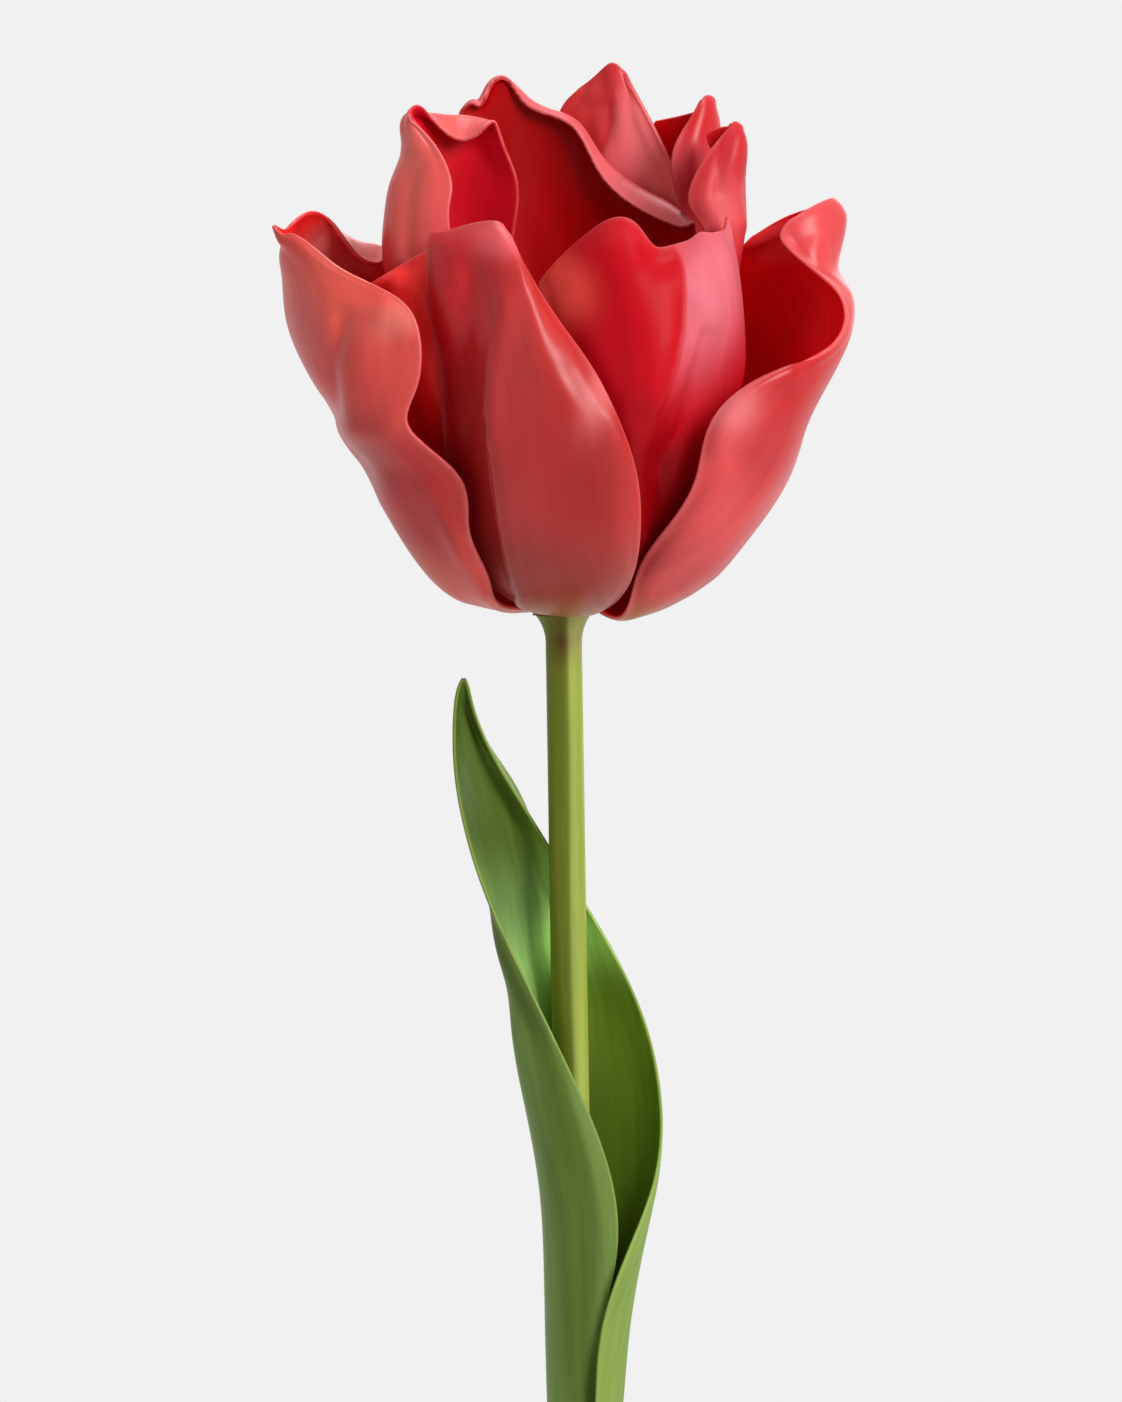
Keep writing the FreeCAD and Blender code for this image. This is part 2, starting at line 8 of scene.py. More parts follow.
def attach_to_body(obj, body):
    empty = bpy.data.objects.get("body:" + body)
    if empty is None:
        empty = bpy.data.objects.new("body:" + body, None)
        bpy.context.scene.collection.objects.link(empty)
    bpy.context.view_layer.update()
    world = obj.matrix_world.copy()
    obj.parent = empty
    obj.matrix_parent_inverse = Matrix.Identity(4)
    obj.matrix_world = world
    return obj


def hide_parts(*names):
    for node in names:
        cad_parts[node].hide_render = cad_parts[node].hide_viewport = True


# A carved and painted wooden tulip of the double kind. Metres, +Z up, the front faces -Y.
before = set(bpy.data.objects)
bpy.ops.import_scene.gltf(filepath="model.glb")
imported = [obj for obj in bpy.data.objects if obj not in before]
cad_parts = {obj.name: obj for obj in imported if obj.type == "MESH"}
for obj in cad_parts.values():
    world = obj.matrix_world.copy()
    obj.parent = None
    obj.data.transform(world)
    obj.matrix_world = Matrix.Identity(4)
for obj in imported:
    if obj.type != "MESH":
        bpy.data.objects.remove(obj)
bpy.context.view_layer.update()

# Sizes, as in the solids
bloom_base_height = 0.250
bloom_width = 0.092
bloom_height = 0.090
stem_diameter = 0.0058
pin_diameter = 0.0060
pin_length = 0.060
pin_taper = 0.012
petal_wall = 0.0013
leaf_wall = 0.0010
foot_chamfer = 0.0003
collar_rise = 0.0014
collar_diameter = 0.0088
collar_height = 0.0044
tenon_diameter = 0.0040
tenon_length = 0.0080
tenon_chamfer = 0.0004
core_foot_diameter = 0.0098
core_top_diameter = 0.0074
core_height = 0.011
glue_gap = 0.00025
leaf_foot_height = 0.0966
leaf_tip_drop = 0.0084
leaf_flare = 0.014
leaf_running_gap = 0.0004
outer_ring_share = 0.10
second_ring_share = 0.30
middle_ring_share = 0.50
inner_ring_share = 0.85
span_share = 0.7

# Each petal: the ring of feet that it stands in, the angles in degrees from the right between
# which its foot follows the core, and its rows from foot to rim, against the clock seen from
# above. They hold hundredths of the bloom's width right and back of the axis, and of its height
# up from its base, nearly as in the solids: a few margins are moved by less than 3 mm, and the
# right petal's tip has one row more.
petals = {}


def level(up, *points):
    """A row whose points are all equally high."""
    return [(right, back, up) for right, back in points]


# The broad front petal, folded along its left third
petals["petal_outer_front"] = outer_ring_share, -156, -38, [
    [(-8.6, -4.8, 4.4), (-8, -6.6, 4), (-7.2, -7.8, 3.5), (-5.6, -9.6, 2.8), (-0.6, -10.6, 2),
     (4.4, -9.6, 2), (7.2, -7.2, 2.8)],
    [(-14, -9, 9), (-12, -12.5, 8.6), (-8.6, -14.5, 8), (-9, -18, 7.5), (-1, -21.5, 6.5), (7, -20.5, 6),
     (11.4, -17, 7)],
    [(-18, -14, 19), (-15, -18, 18.5), (-10.6, -21.5, 18), (-11, -26.5, 18), (-1.5, -30.5, 17),
     (8, -29, 15.5), (13.4, -25, 16)],
    [(-19.6, -18, 28), (-16, -22.5, 28), (-11.8, -26.5, 28), (-12.1, -31, 28), (-2, -35, 27),
     (7.5, -34, 25.5), (13.1, -30, 25)],
    [(-20.3, -20.5, 38), (-16.5, -25, 38), (-12, -29.5, 38), (-11.9, -33, 38), (-3, -37, 37),
     (5.5, -36.5, 35), (10.6, -33, 33.8)],
    [(-20.6, -22, 47), (-17, -27, 48), (-13, -31.5, 48), (-10, -34.5, 48), (-4, -37.5, 46), (1.8, -37, 44),
     (5.8, -34, 44.3)],
    [(-22.5, -23, 56), (-19, -27, 57), (-14, -31, 58), (-9.2, -34.5, 57.5), (-5.5, -36.5, 56),
     (-3, -36, 54), (-0.4, -33, 53.5)],
    [(-22.6, -23, 63.5), (-19.5, -26, 64.5), (-15, -29.5, 65), (-9.8, -32.5, 65.5), (-7, -34, 64),
     (-6.3, -33.5, 62.5), (-5.2, -31, 61.5)],
    [(-22.8, -22, 69.4), (-19.5, -23.5, 69.2), (-15.5, -25.5, 70.2), (-12, -27.5, 70.8),
     (-9.7, -28.6, 70.2), (-9, -28.8, 68.8), (-7.9, -28.6, 66.8)],
]

# The left petal: its tip bends out and its back margin rolls in
petals["petal_outer_left"] = outer_ring_share, 141, 197, [
    [(-6.9, 6, 5.6), (-8.7, 4.5, 4.5), (-9.8, 1.8, 3.5), (-10.2, -0.6, 3.1), (-10.3, -2.9, 2.9),
     (-10.5, -5.2, 3), (-10.6, -7.4, 3.4)],
    [(-10.8, 9.6, 11), (-15, 6, 8.2), (-18.3, 0, 6.3), (-18.5, -6, 6), (-16.5, -11, 6.5), (-14.3, -14.5, 7),
     (-12.7, -17, 8.3)],
    [(-16, 17, 18.5), (-22, 10, 16.8), (-26.2, 1, 15.8), (-26, -8, 15), (-23, -15, 15),
     (-19.2, -19.8, 15.3), (-15.9, -23, 16.5)],
    [(-17, 20, 30), (-26, 13, 28), (-32, 3, 26), (-32, -7, 25.5), (-28.5, -16, 25), (-23.5, -22, 25.5),
     (-17.4, -25.5, 26)],
    [(-20, 22, 40), (-30, 15, 38), (-37.4, 4, 36), (-37.6, -6, 35.5), (-35, -16, 34.5), (-30.5, -22, 34),
     (-25.8, -26, 34.5)],
    [(-23, 22, 49), (-33, 16, 48), (-41, 7, 47), (-43.5, -3, 46.5), (-41, -14, 44), (-34, -23, 43),
     (-24.6, -27.5, 41.5)],
    [(-25, 20, 56), (-35, 15, 57), (-43, 7, 56), (-46.5, -3, 54.5), (-44, -13, 53), (-36, -22.5, 51.5),
     (-23.7, -28, 49.5)],
    [(-27, 17, 61.5), (-36, 12, 63.5), (-43, 6, 63), (-46.9, -2, 62), (-45.5, -11, 60.5),
     (-38.5, -20, 58.5), (-27, -26, 57.2)],
    [(-29, 12, 67.2), (-34.5, 9.5, 68), (-41, 4, 69.5), (-46, -2, 67.5), (-47.3, -9, 66.3),
     (-43.5, -15.5, 64.6), (-37, -20.5, 62.9)],
    [(-29.5, 7, 64.4), (-34.6, 5, 65.6), (-39.5, 1, 72.3), (-43.3, -3.5, 73.5), (-46.5, -8, 71.3),
     (-49, -11.5, 70.6), (-43.5, -15, 69.2)],
]

# The right petal: a wide mouth below a folded tip
petals["petal_outer_right"] = outer_ring_share, -34, 38, [
    [(9.2, -6.6, 0.9), (9.6, -4.6, 0.9), (9.8, -2.5, 1.2), (9.8, -0.4, 1.6), (9.3, 1.9, 2.3),
     (8.8, 4.2, 3.6), (8, 6, 5.2)],
    [(12.6, -12.5, 8.3), (17, -11.5, 6), (20, -8, 5), (21.5, -2, 5.2), (20, 4, 7.5), (16.5, 7.6, 9.5),
     (14.5, 10.2, 11.2)],
    [(18, -21.5, 16.8), (24, -20, 14.5), (29, -13, 14), (31.7, -4, 15), (30, 5, 17), (25.5, 12, 18.5),
     (20, 17, 20)],
    [(23.1, -26, 25.5), (29.4, -24.5, 25), (36, -17, 25), (39, -6, 26), (37.5, 5, 28), (31, 14, 30),
     (22, 19, 33)],
    [(25.8, -27.5, 35), (33.3, -26.5, 34.5), (40, -19.5, 34.5), (42.4, -8, 35.5), (41, 4, 38), (35, 15, 40),
     (26, 20, 43)],
    [(35, -26, 42.8), (40, -24, 43), (44.5, -18, 43.5), (47, -8, 44), (44.5, 5, 48), (38, 15, 50),
     (28.6, 20, 52)],
    [(47.3, -17.5, 48.5), (48.5, -14.5, 49), (49.5, -11, 50), (49.6, -6, 51), (46, 6, 55), (40, 15, 57),
     (31, 19.5, 58)],
    [(48.6, -12, 57), (49.5, -9.5, 57), (50.1, -7, 57.5), (49.9, -3, 58), (46.5, 6, 61), (40.5, 13.5, 62),
     (31.2, 17.5, 62.5)],
    [(42.4, -12, 63), (44.4, -11, 62.6), (46.6, -8, 62.6), (47.9, -2, 63), (45.5, 6, 65.5), (39.5, 12, 67),
     (31.2, 15.5, 66.4)],
    [(38.2, -10.4, 67.8), (42.8, -9.6, 69.4), (47.2, -6.6, 70.8), (49.5, -1.6, 71.6), (46, 4.6, 70.8),
     (39.4, 9.6, 69.6), (31.4, 12, 65.8)],
    [(38.4, -10, 69.6), (42, -9, 71.8), (45.6, -6, 73.8), (47.8, -1.8, 74.6), (45, 4, 73.4), (39, 9, 71.4),
     (31.6, 11, 66.8)],
]

# The two hidden petals at the back
petals["petal_outer_back_left"] = outer_ring_share, 93, 131, [
    [(-3, 17, 8), (-5, 19.5, 6), (-10, 18, 5.5), (-13, 14.5, 5.8), (-11.6, 12, 7.2)],
    [(-1, 29, 18), (-5, 30, 16), (-11, 30, 15), (-17.5, 27, 15.5), (-21.5, 20.5, 18)],
    [(1, 35, 31), (-5, 36, 29), (-13, 36, 28), (-22, 32, 29), (-27.5, 24, 30)],
    [(2, 37, 46), (-6, 39, 46), (-16, 39.5, 46), (-25, 35, 46), (-31, 27, 45)],
    [(1, 36, 58), (-7, 38.5, 62), (-16.5, 38.5, 62), (-25, 34, 60), (-29.5, 28, 56)],
    [(-2.5, 33, 65), (-8, 36, 70.5), (-14, 36, 74), (-20.5, 33, 70), (-25, 29, 63)],
]
petals["petal_outer_back_right"] = outer_ring_share, 48, 90, [
    [(12, 11.8, 7.2), (13.5, 14, 6.2), (9, 18, 5.5), (4, 17.5, 6), (-0.5, 14.5, 8)],
    [(21.5, 20.5, 18), (17.5, 27, 15.5), (10, 29, 15), (3, 27.5, 16), (-2.5, 24, 18)],
    [(27.5, 24, 30), (22, 32, 29), (13, 35, 28), (4, 33.5, 29), (-2, 29, 31)],
    [(31, 27, 45), (25, 35, 46), (16, 39, 46), (6, 36, 46), (-2, 31, 46)],
    [(29.5, 28, 56), (25, 34, 60), (16.5, 38.5, 62), (7, 36, 62), (0, 31.5, 59)],
    [(25, 29, 63), (21.5, 33.5, 70), (15.5, 36, 76), (9, 35, 72), (3, 31.5, 66)],
]

# The front right petal of two lobes, which shows behind the front petal
petals["petal_middle_front_right"] = middle_ring_share, -72, -10, [
    [(2, -18, 17), (7, -19, 16), (12, -18.5, 15.5), (15, -15.5, 15.5), (18, -13.5, 16), (20.5, -9, 17),
     (20, -4, 19)],
    [(0, -24, 30), (7, -26.5, 29.5), (13, -27, 29), (16.5, -23.5, 30), (20.5, -22, 30), (26, -15, 31),
     (26.5, -8, 33)],
    [(-1, -26, 42), (6, -29.5, 42), (13.5, -31, 41.5), (19.6, -28.5, 41), (22, -24.5, 43),
     (30.3, -17.5, 43), (30.5, -10, 45)],
    [(-2, -25.5, 52), (5, -29.5, 53), (14, -31.5, 53), (21.3, -27.5, 53), (25, -26.5, 54),
     (30.9, -17.5, 54), (30.3, -10, 56)],
    [(-3, -23, 58), (4, -27, 62), (12, -29.5, 63), (19.5, -26.5, 61.5), (25, -24.5, 62), (30, -16, 63),
     (29.6, -9.5, 64.5)],
    [(-3.6, -21, 60), (5.5, -24.5, 68.6), (12.5, -26, 70.8), (18.5, -23.5, 66.4), (24.5, -22, 67.7),
     (28.8, -15.5, 69.2), (29.6, -10.5, 72.6)],
]

# The small petal that shows between the left and the front one
petals["petal_middle_front_left"] = middle_ring_share, 200, 255, [
    level(30, (-24, -10), (-21.5, -14.5), (-18, -17), (-14, -18.5), (-9, -19.5)),
    level(45, (-30, -12), (-27, -17), (-23, -19.5), (-18, -20.5), (-12, -21.5)),
    [(-33, -12.5, 55), (-29, -17.5, 55.5), (-24.5, -19.8, 56), (-19, -20.5, 57), (-13, -21, 58)],
    [(-34, -12, 59.5), (-30, -15.5, 61.8), (-25.5, -17.8, 64.5), (-20, -19, 67), (-14, -20, 66)],
]

# The hidden petal of the middle ring
petals["petal_middle_back_left"] = second_ring_share, 118, 188, [
    [(0, 11.5, 15), (-3.5, 12, 14.5), (-7, 11, 14.5), (-10, 8.5, 15), (-12, 5.5, 16)],
    [(3, 22.5, 30), (-3, 23.5, 29), (-9, 22.5, 29), (-14.5, 19.5, 30), (-17.5, 13.5, 31)],
    level(50, (4, 26), (-3, 27.5), (-11, 26.5), (-18, 22), (-22, 15)),
    [(3, 26.5, 66), (-3, 27.5, 69), (-10, 26.5, 71), (-17, 22, 70), (-21, 16, 67)],
    [(0, 25.5, 74), (-4, 25.5, 80), (-9.5, 24.5, 84), (-14.5, 21.5, 79), (-18, 18, 74)],
]

# The tall peak
petals["petal_middle_back"] = middle_ring_share, 62, 112, [
    level(15, (8.5, 5), (7, 7), (5, 8.5), (2.8, 9), (0.8, 9)),
    level(30, (19, 12), (14, 16), (9, 18), (4, 20), (-1, 20)),
    level(50, (23, 13), (18, 18), (12, 20), (5, 23), (-2, 23)),
    [(23.5, 12, 68), (18, 16.5, 70), (11.5, 18, 70), (5, 21.5, 72), (-1, 22.5, 74)],
    [(21, 12.5, 79), (16, 15.5, 82), (9.8, 16.5, 83), (5, 19.5, 84), (-0.5, 21, 86)],
    [(16.3, 13.8, 90), (13.8, 15.2, 91), (10.8, 15.8, 91.5), (6, 18, 91), (1, 19.5, 92)],
    [(12.3, 14.5, 97.3), (11.6, 15, 98.8), (9.8, 15, 99.8), (7, 16.5, 97.6), (3.5, 18, 95)],
]

# The petal on the right, folded round the peak's edge
petals["petal_middle_right"] = second_ring_share, 5, 52, [
    [(14.5, 2, 15), (16, 5, 14), (16, 9, 14), (13.5, 12.5, 14.5), (9.5, 14, 16)],
    level(35, (21.5, 4.5), (24.5, 7), (25, 12), (22, 17), (16, 20)),
    level(55, (26.3, 6), (28, 8.5), (29, 14), (25, 20), (17, 24)),
    level(72, (22, 6.5), (25.8, 7.6), (29, 12), (25, 19), (16.5, 22)),
    [(20.2, 4.5, 83.5), (24.6, 5.6, 84), (28.4, 11, 84.5), (24.5, 17, 84), (16.5, 20, 83)],
    [(25, 7, 91.3), (26.2, 8, 93.5), (27.5, 11, 92.4), (22.5, 16, 90.4), (16.5, 18.5, 89.3)],
]

# The scrolled petal on the left
petals["petal_inner_left"] = inner_ring_share, 150, 235, [
    level(35, (-7, 3), (-13, 4), (-19, 2), (-21, -4), (-19, -10), (-15, -13), (-10, -15)),
    level(52, (-7, 3), (-14, 5), (-22, 2), (-26, -5), (-24, -12), (-19, -15), (-13, -17)),
    [(-8, 2, 64), (-15, 4.5, 64), (-24, 2, 64), (-29, -6, 64), (-27.5, -13, 64), (-23, -15.5, 63),
     (-17, -17, 62)],
    [(-7, 1, 72.5), (-15, 4, 73), (-24, 2, 72), (-29, -6, 72), (-27, -13.5, 71.5), (-23, -16.5, 71),
     (-18.6, -17.5, 72.5)],
    [(-6.8, 1, 78.5), (-14, 4, 80), (-22.5, 2.5, 79), (-28, -5, 78.5), (-26, -12, 78.3), (-22, -15.5, 78),
     (-18, -17, 77.5)],
    [(-9, 1, 85), (-14.5, 4.5, 86), (-20.5, 3, 86.5), (-25.8, -3, 85.5), (-25, -9, 85), (-22.6, -12, 84.7),
     (-20.3, -14, 84)],
    [(-10.3, 1, 88.8), (-15, 4, 89.6), (-20, 2.5, 90.2), (-25.6, -2, 90), (-25.6, -5, 88.8),
     (-24.9, -7, 88.6), (-23.4, -9, 88)],
    [(-11.2, -1, 89.3), (-15.5, 0, 85.8), (-19.8, -0.5, 87.8), (-22.5, -2, 91.4), (-24.2, -4, 92.1),
     (-25.3, -5.5, 91), (-24.8, -7.5, 89.5)],
]

# The wide hollow petal at the heart, its right margin rolled in
petals["petal_inner_back"] = inner_ring_share, 30, 140, [
    level(20, (9, 3.5), (7.5, 6), (5, 7.6), (1, 8.3), (-3, 7.8), (-5.8, 6.3), (-7.6, 4)),
    level(30, (16, 8), (11, 12), (6, 14.5), (0, 15.5), (-6, 14.5), (-10, 12), (-12.5, 8)),
    level(50, (22, 8), (15, 14), (8, 17), (0, 18.5), (-8, 17), (-13, 13.5), (-16, 8.5)),
    [(24, 5.5, 62), (17, 12.6, 64), (9, 16.5, 66), (0, 18, 68), (-8, 16.5, 70), (-13, 13, 70),
     (-16.5, 8.5, 70)],
    [(24.3, 4.6, 67.5), (17.5, 11.6, 70.5), (9.5, 15, 75), (1, 17, 82), (-6.5, 16, 85), (-11.5, 13, 86),
     (-17, 9, 83)],
    [(23.7, 4, 70.6), (17, 10, 75), (9, 13.3, 81), (3, 15, 89.3), (-4.5, 14.8, 93), (-9.5, 13, 96.8),
     (-16.6, 9.5, 91)],
    [(23.3, 2.6, 69.2), (16, 7.8, 72.3), (7.8, 11, 79.3), (2.5, 12.8, 88.7), (-5.3, 13, 92.6),
     (-9, 11.5, 97.3), (-15.2, 8, 92)],
]

# The scrolled petal on the right
petals["petal_inner_right"] = inner_ring_share, -50, 20, [
    level(35, (21, -8), (24.5, -7), (26, -3), (25, 0), (22, 1)),
    level(55, (25, -9), (28, -8), (29.5, -3.5), (28, 0.2), (25, 1)),
    [(25, -8, 69.8), (28.2, -7.6, 70), (32, -3, 70), (29.5, 0, 70), (27, 0.5, 70)],
    [(22.6, -8, 74.3), (27, -8, 75), (31.9, -3, 76), (30, 0, 77), (27.5, 0.8, 77)],
    [(25.7, -7, 82), (29.5, -6.5, 82.5), (32.4, -3, 83), (30, -0.6, 83), (27.2, -0.2, 82.5)],
    [(30.2, -4.5, 87.6), (31, -3.8, 88.4), (31.9, -2.8, 87.6), (29, -1.2, 87.6), (25.5, -0.7, 86.1)],
]

# The leaf's rows climb from its foot to its tip. Each holds its height, in hundredths of the
# leaf's length, and the points from the left margin round the back of the stem to the right
# margin: an angle in degrees and the stand-off from the sheath, in hundredths of the flare.
leaf_rows = [
    (0, [(-40, 0), (-110, 0), (-180, 0), (-235, 0), (-290, 1), (-350, 6), (-412, 11)]),
    (10.6, [(-40, 3), (-108, 2), (-180, 1), (-235, 1), (-290, 3), (-350, 13), (-422, 17)]),
    (20.3, [(-46, 11), (-104, 6), (-178, 2), (-235, 2), (-295, 6), (-352, 24), (-427, 31)]),
    (28.6, [(-50, 24), (-103, 12), (-177, 3), (-235, 3), (-300, 10), (-355, 33), (-420, 36)]),
    (36.8, [(-42, 40), (-100, 24), (-170, 4), (-235, 3), (-305, 16), (-357, 47), (-402, 56)]),
    (45, [(-52, 45), (-105, 31), (-165, 10), (-235, 4), (-305, 21), (-350, 60), (-375, 71)]),
    (53.4, [(-76, 34), (-115, 33), (-165, 25), (-230, 5), (-300, 23), (-345, 59), (-366, 75)]),
    (61.7, [(-114, 33), (-140, 34), (-168, 37), (-225, 8), (-295, 19), (-335, 40), (-358, 59)]),
    (70, [(-148, 49), (-170, 53), (-202, 37), (-247, 26), (-283, 19), (-317, 19), (-346, 23)]),
    (78.2, [(-172, 75), (-187, 58), (-207, 44), (-238, 32), (-243, 23), (-253, 13), (-269, 4)]),
    (86.5, [(-177, 96), (-186, 72), (-198, 56), (-212, 44), (-208, 36), (-200, 31), (-189, 27)]),
    (92, [(-182, 101), (-187, 91), (-192, 82), (-197, 73), (-195, 67), (-191, 62), (-186.5, 59)]),
    (97, [(-182.4, 98.5), (-185, 95.5), (-187.6, 91), (-190, 86), (-189, 84), (-187.5, 81),
          (-185.5, 78)]),
    (99.2, [(-184, 94), (-185, 92), (-186.2, 89.5), (-187.4, 87.2), (-187, 86), (-186.2, 84.6),
            (-185.4, 83)]),
    (100, [(-185, 90), (-185.4, 89.3), (-185.8, 88.6), (-186.3, 87.8), (-186.1, 87.4), (-185.9, 87),
           (-185.6, 86)]),
]

collar_top = bloom_base_height + collar_rise
collar_foot = collar_top - collar_height
stem_radius = stem_diameter / 2
pin_radius = pin_diameter / 2
sheath_radius = stem_radius + leaf_running_gap + leaf_wall / 2
leaf_length = bloom_base_height - leaf_tip_drop - leaf_foot_height

# Shares of a sheet at which its columns stand close together, so that its rim turns round
rim_shares = [0, 0.0009, 0.0026, 0.0052, 0.009, 0.015, 0.024, 0.038]

# A sheet thins to this share of its wall at the rim, over this distance
rim_wall_share = 0.55
rim_reach = 0.003

# Points along and across a petal and the leaf, and the share of a petal's length in which its
# tip is rounded
petal_counts = (112, 92)
leaf_counts = (150, 72)
petal_corner = 0.06

# Metres to one unit of the flat coordinates, and where each side of a sheet lies in them
flat_unit = 0.1
flat_outer = (0.5, 0.5)
flat_inner = (2.5, 0.5)


def paint(red, green, blue):
    """A colour as the eye reads it, from 0 to 255, in the scale that light adds up in."""
    share = np.array([red, green, blue], float) / 255
    return np.where(share <= 0.04045, share / 12.92, ((share + 0.055) / 1.055) ** 2.4)


def over(colour, coat, cover):
    """A colour under a coat that covers a share of it."""
    return colour + (coat - colour) * cover


def ease(low, high, value):
    """0 below low, 1 above high, and smooth between."""
    share = np.clip((value - low) / (high - low), 0, 1)
    return share * share * (3 - 2 * share)


def band(low, full, falling, gone, value):
    """1 from full to falling, and smoothly 0 below low and above gone."""
    return ease(low, full, value) * (1 - ease(falling, gone, value))


# Smooth sheets through the rows

def second_slopes(t):
    """The matrix from values at the knots t to the second slopes of a natural cubic there."""
    count = len(t)
    gap = np.diff(t)
    left = np.eye(count)
    right = np.zeros((count, count))
    for i in range(1, count - 1):
        left[i, i - 1:i + 2] = gap[i - 1], 2 * (gap[i - 1] + gap[i]), gap[i]
        right[i, i - 1:i + 2] = 6 / gap[i - 1], -6 / gap[i - 1] - 6 / gap[i], 6 / gap[i]
    return np.linalg.solve(left, right)


def spline_weights(t, s):
    """The matrix from values at the knots t to values of a natural cubic at s."""
    slopes = second_slopes(t)
    k = np.clip(np.searchsorted(t, s, side="right") - 1, 0, len(t) - 2)
    gap = t[k + 1] - t[k]
    a = (t[k + 1] - s) / gap
    b = (s - t[k]) / gap
    rows = np.arange(len(s))
    result = np.zeros((len(s), len(t)))
    result[rows, k] += a
    result[rows, k + 1] += b
    result += ((a ** 3 - a) * gap ** 2 / 6)[:, None] * slopes[k]
    result += ((b ** 3 - b) * gap ** 2 / 6)[:, None] * slopes[k + 1]
    return result


def knot_values(points, axis):
    """The rows' or the columns' places from 0 to 1, by the mean length between them."""
    spans = np.linalg.norm(np.diff(points, axis=axis), axis=2).sum(axis=1 - axis) ** span_share
    t = np.concatenate([[0], np.cumsum(spans)])
    return t / t[-1]


def spread(count, rim_start, rim_end):
    """Shares from 0 to 1: even inside, and close together at a rimmed end."""
    low = rim_shares if rim_start else [0]
    high = [1 - share for share in reversed(rim_shares)] if rim_end else [1]
    inside = np.linspace(low[-1], high[0], count + 1)[1:-1]
    return np.concatenate([low, inside, high])


def arc_lengths(sheet, axis):
    """The length along a sheet's lines, from their start."""
    steps = np.linalg.norm(np.diff(sheet, axis=axis), axis=2)
    start = np.zeros_like(np.take(steps, [0], axis=axis))
    return np.concatenate([start, np.cumsum(steps, axis=axis)], axis=axis)


class Sheet:
    """A curved sheet: its middle surface, its normals, and distances from its margins."""

    def __init__(self, rows, counts, rim_foot=False, corner=0.0):
        net = np.array(rows, float)
        u = spread(counts[0], rim_foot, True)
        v = spread(counts[1], True, True)
        lines = np.einsum("ai,ijc->ajc", spline_weights(knot_values(net, 0), u), net)
        over = spline_weights(knot_values(net, 1), v)
        self.middle = np.einsum("bj,ajc->abc", over, lines)
        for i in np.nonzero(u > 1 - corner)[0]:
            cut = corner * (1 - math.sqrt(max(0.0, 1 - ((u[i] - 1 + corner) / corner) ** 2)))
            self.middle[i] = spline_weights(knot_values(net, 1), cut + (1 - 2 * cut) * v) @ lines[i]
        self.u = np.repeat(u[:, None], len(v), axis=1)
        self.v = np.repeat(v[None, :], len(u), axis=0)
        self.rim_foot = rim_foot
        self.measure()

    def measure(self):
        """Normals and distances, from the middle surface."""
        grown = np.gradient(self.middle, self.u[:, 0], axis=0)
        sideways = np.gradient(self.middle, self.v[0], axis=1)
        normal = np.cross(sideways, grown)
        self.normal = normal / (np.linalg.norm(normal, axis=2, keepdims=True) + 1e-12)
        across_length = arc_lengths(self.middle, 1)
        along_length = arc_lengths(self.middle, 0)
        self.left = across_length
        self.right = across_length[:, -1:] - across_length
        self.top = along_length[-1:, :] - along_length
        self.foot = along_length
        self.width = across_length[:, -1:] * np.ones_like(across_length)
        self.margin = np.minimum(np.minimum(self.left, self.right), self.top)
        if self.rim_foot:
            self.margin = np.minimum(self.margin, self.foot)

    def push(self, heights):
        """Moves the middle surface along its normal by a height at each point."""
        self.middle = self.middle + self.normal * heights[:, :, None]
        self.measure()

    def walls(self, wall):
        """The outer and the inner face, which thin to a round rim."""
        radius = wall / 2 * rim_wall_share
        near = 1 - np.clip(self.margin / radius, 0, 1)
        half = radius * np.sqrt(np.clip(1 - near ** 2, 0, 1))
        half = (half + (wall / 2 - radius) * ease(radius, radius + rim_reach, self.margin))[:, :, None]
        return self.middle + self.normal * half, self.middle - self.normal * half


def grid_faces(first, rows, columns, inward):
    """Four-sided faces over a grid of vertices."""
    a = first + np.arange(rows - 1)[:, None] * columns + np.arange(columns - 1)[None, :]
    quads = np.stack([a, a + 1, a + columns + 1, a + columns], axis=2).reshape(-1, 4)
    return quads[:, ::-1] if inward else quads


def dress(mesh, colours, gloss, flat):
    """Gives each point its colour and gloss, and each corner its flat coordinates."""
    layer = mesh.color_attributes.new("paint", "FLOAT_COLOR", "POINT")
    layer.data.foreach_set("color", np.concatenate([colours, np.ones((len(colours), 1))], axis=1).ravel())
    mesh.attributes.new("gloss", "FLOAT", "POINT").data.foreach_set("value", gloss)
    corner = np.zeros(len(mesh.loops), int)
    mesh.loops.foreach_get("vertex_index", corner)
    mesh.uv_layers.new(name="flat").data.foreach_set("uv", flat[corner].ravel())


def weld(mesh):
    """Joins the two faces' points where they meet along the rim."""
    work = bmesh.new()
    work.from_mesh(mesh)
    bmesh.ops.remove_doubles(work, verts=work.verts, dist=1e-7)
    bmesh.ops.dissolve_degenerate(work, edges=work.edges, dist=1e-8)
    bmesh.ops.recalc_face_normals(work, faces=work.faces)
    work.to_mesh(mesh)
    work.free()


def add_object(name, data):
    made = bpy.data.objects.new(name, data)
    bpy.context.scene.collection.objects.link(made)
    return made


def set_piece(name, mesh, material, nodes, body):
    """Sets the mesh in the scene as a piece in the place of its nodes."""
    mesh.materials.append(material)
    piece = add_object(name, mesh)
    mesh.shade_smooth()
    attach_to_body(piece, body)
    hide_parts(*nodes)


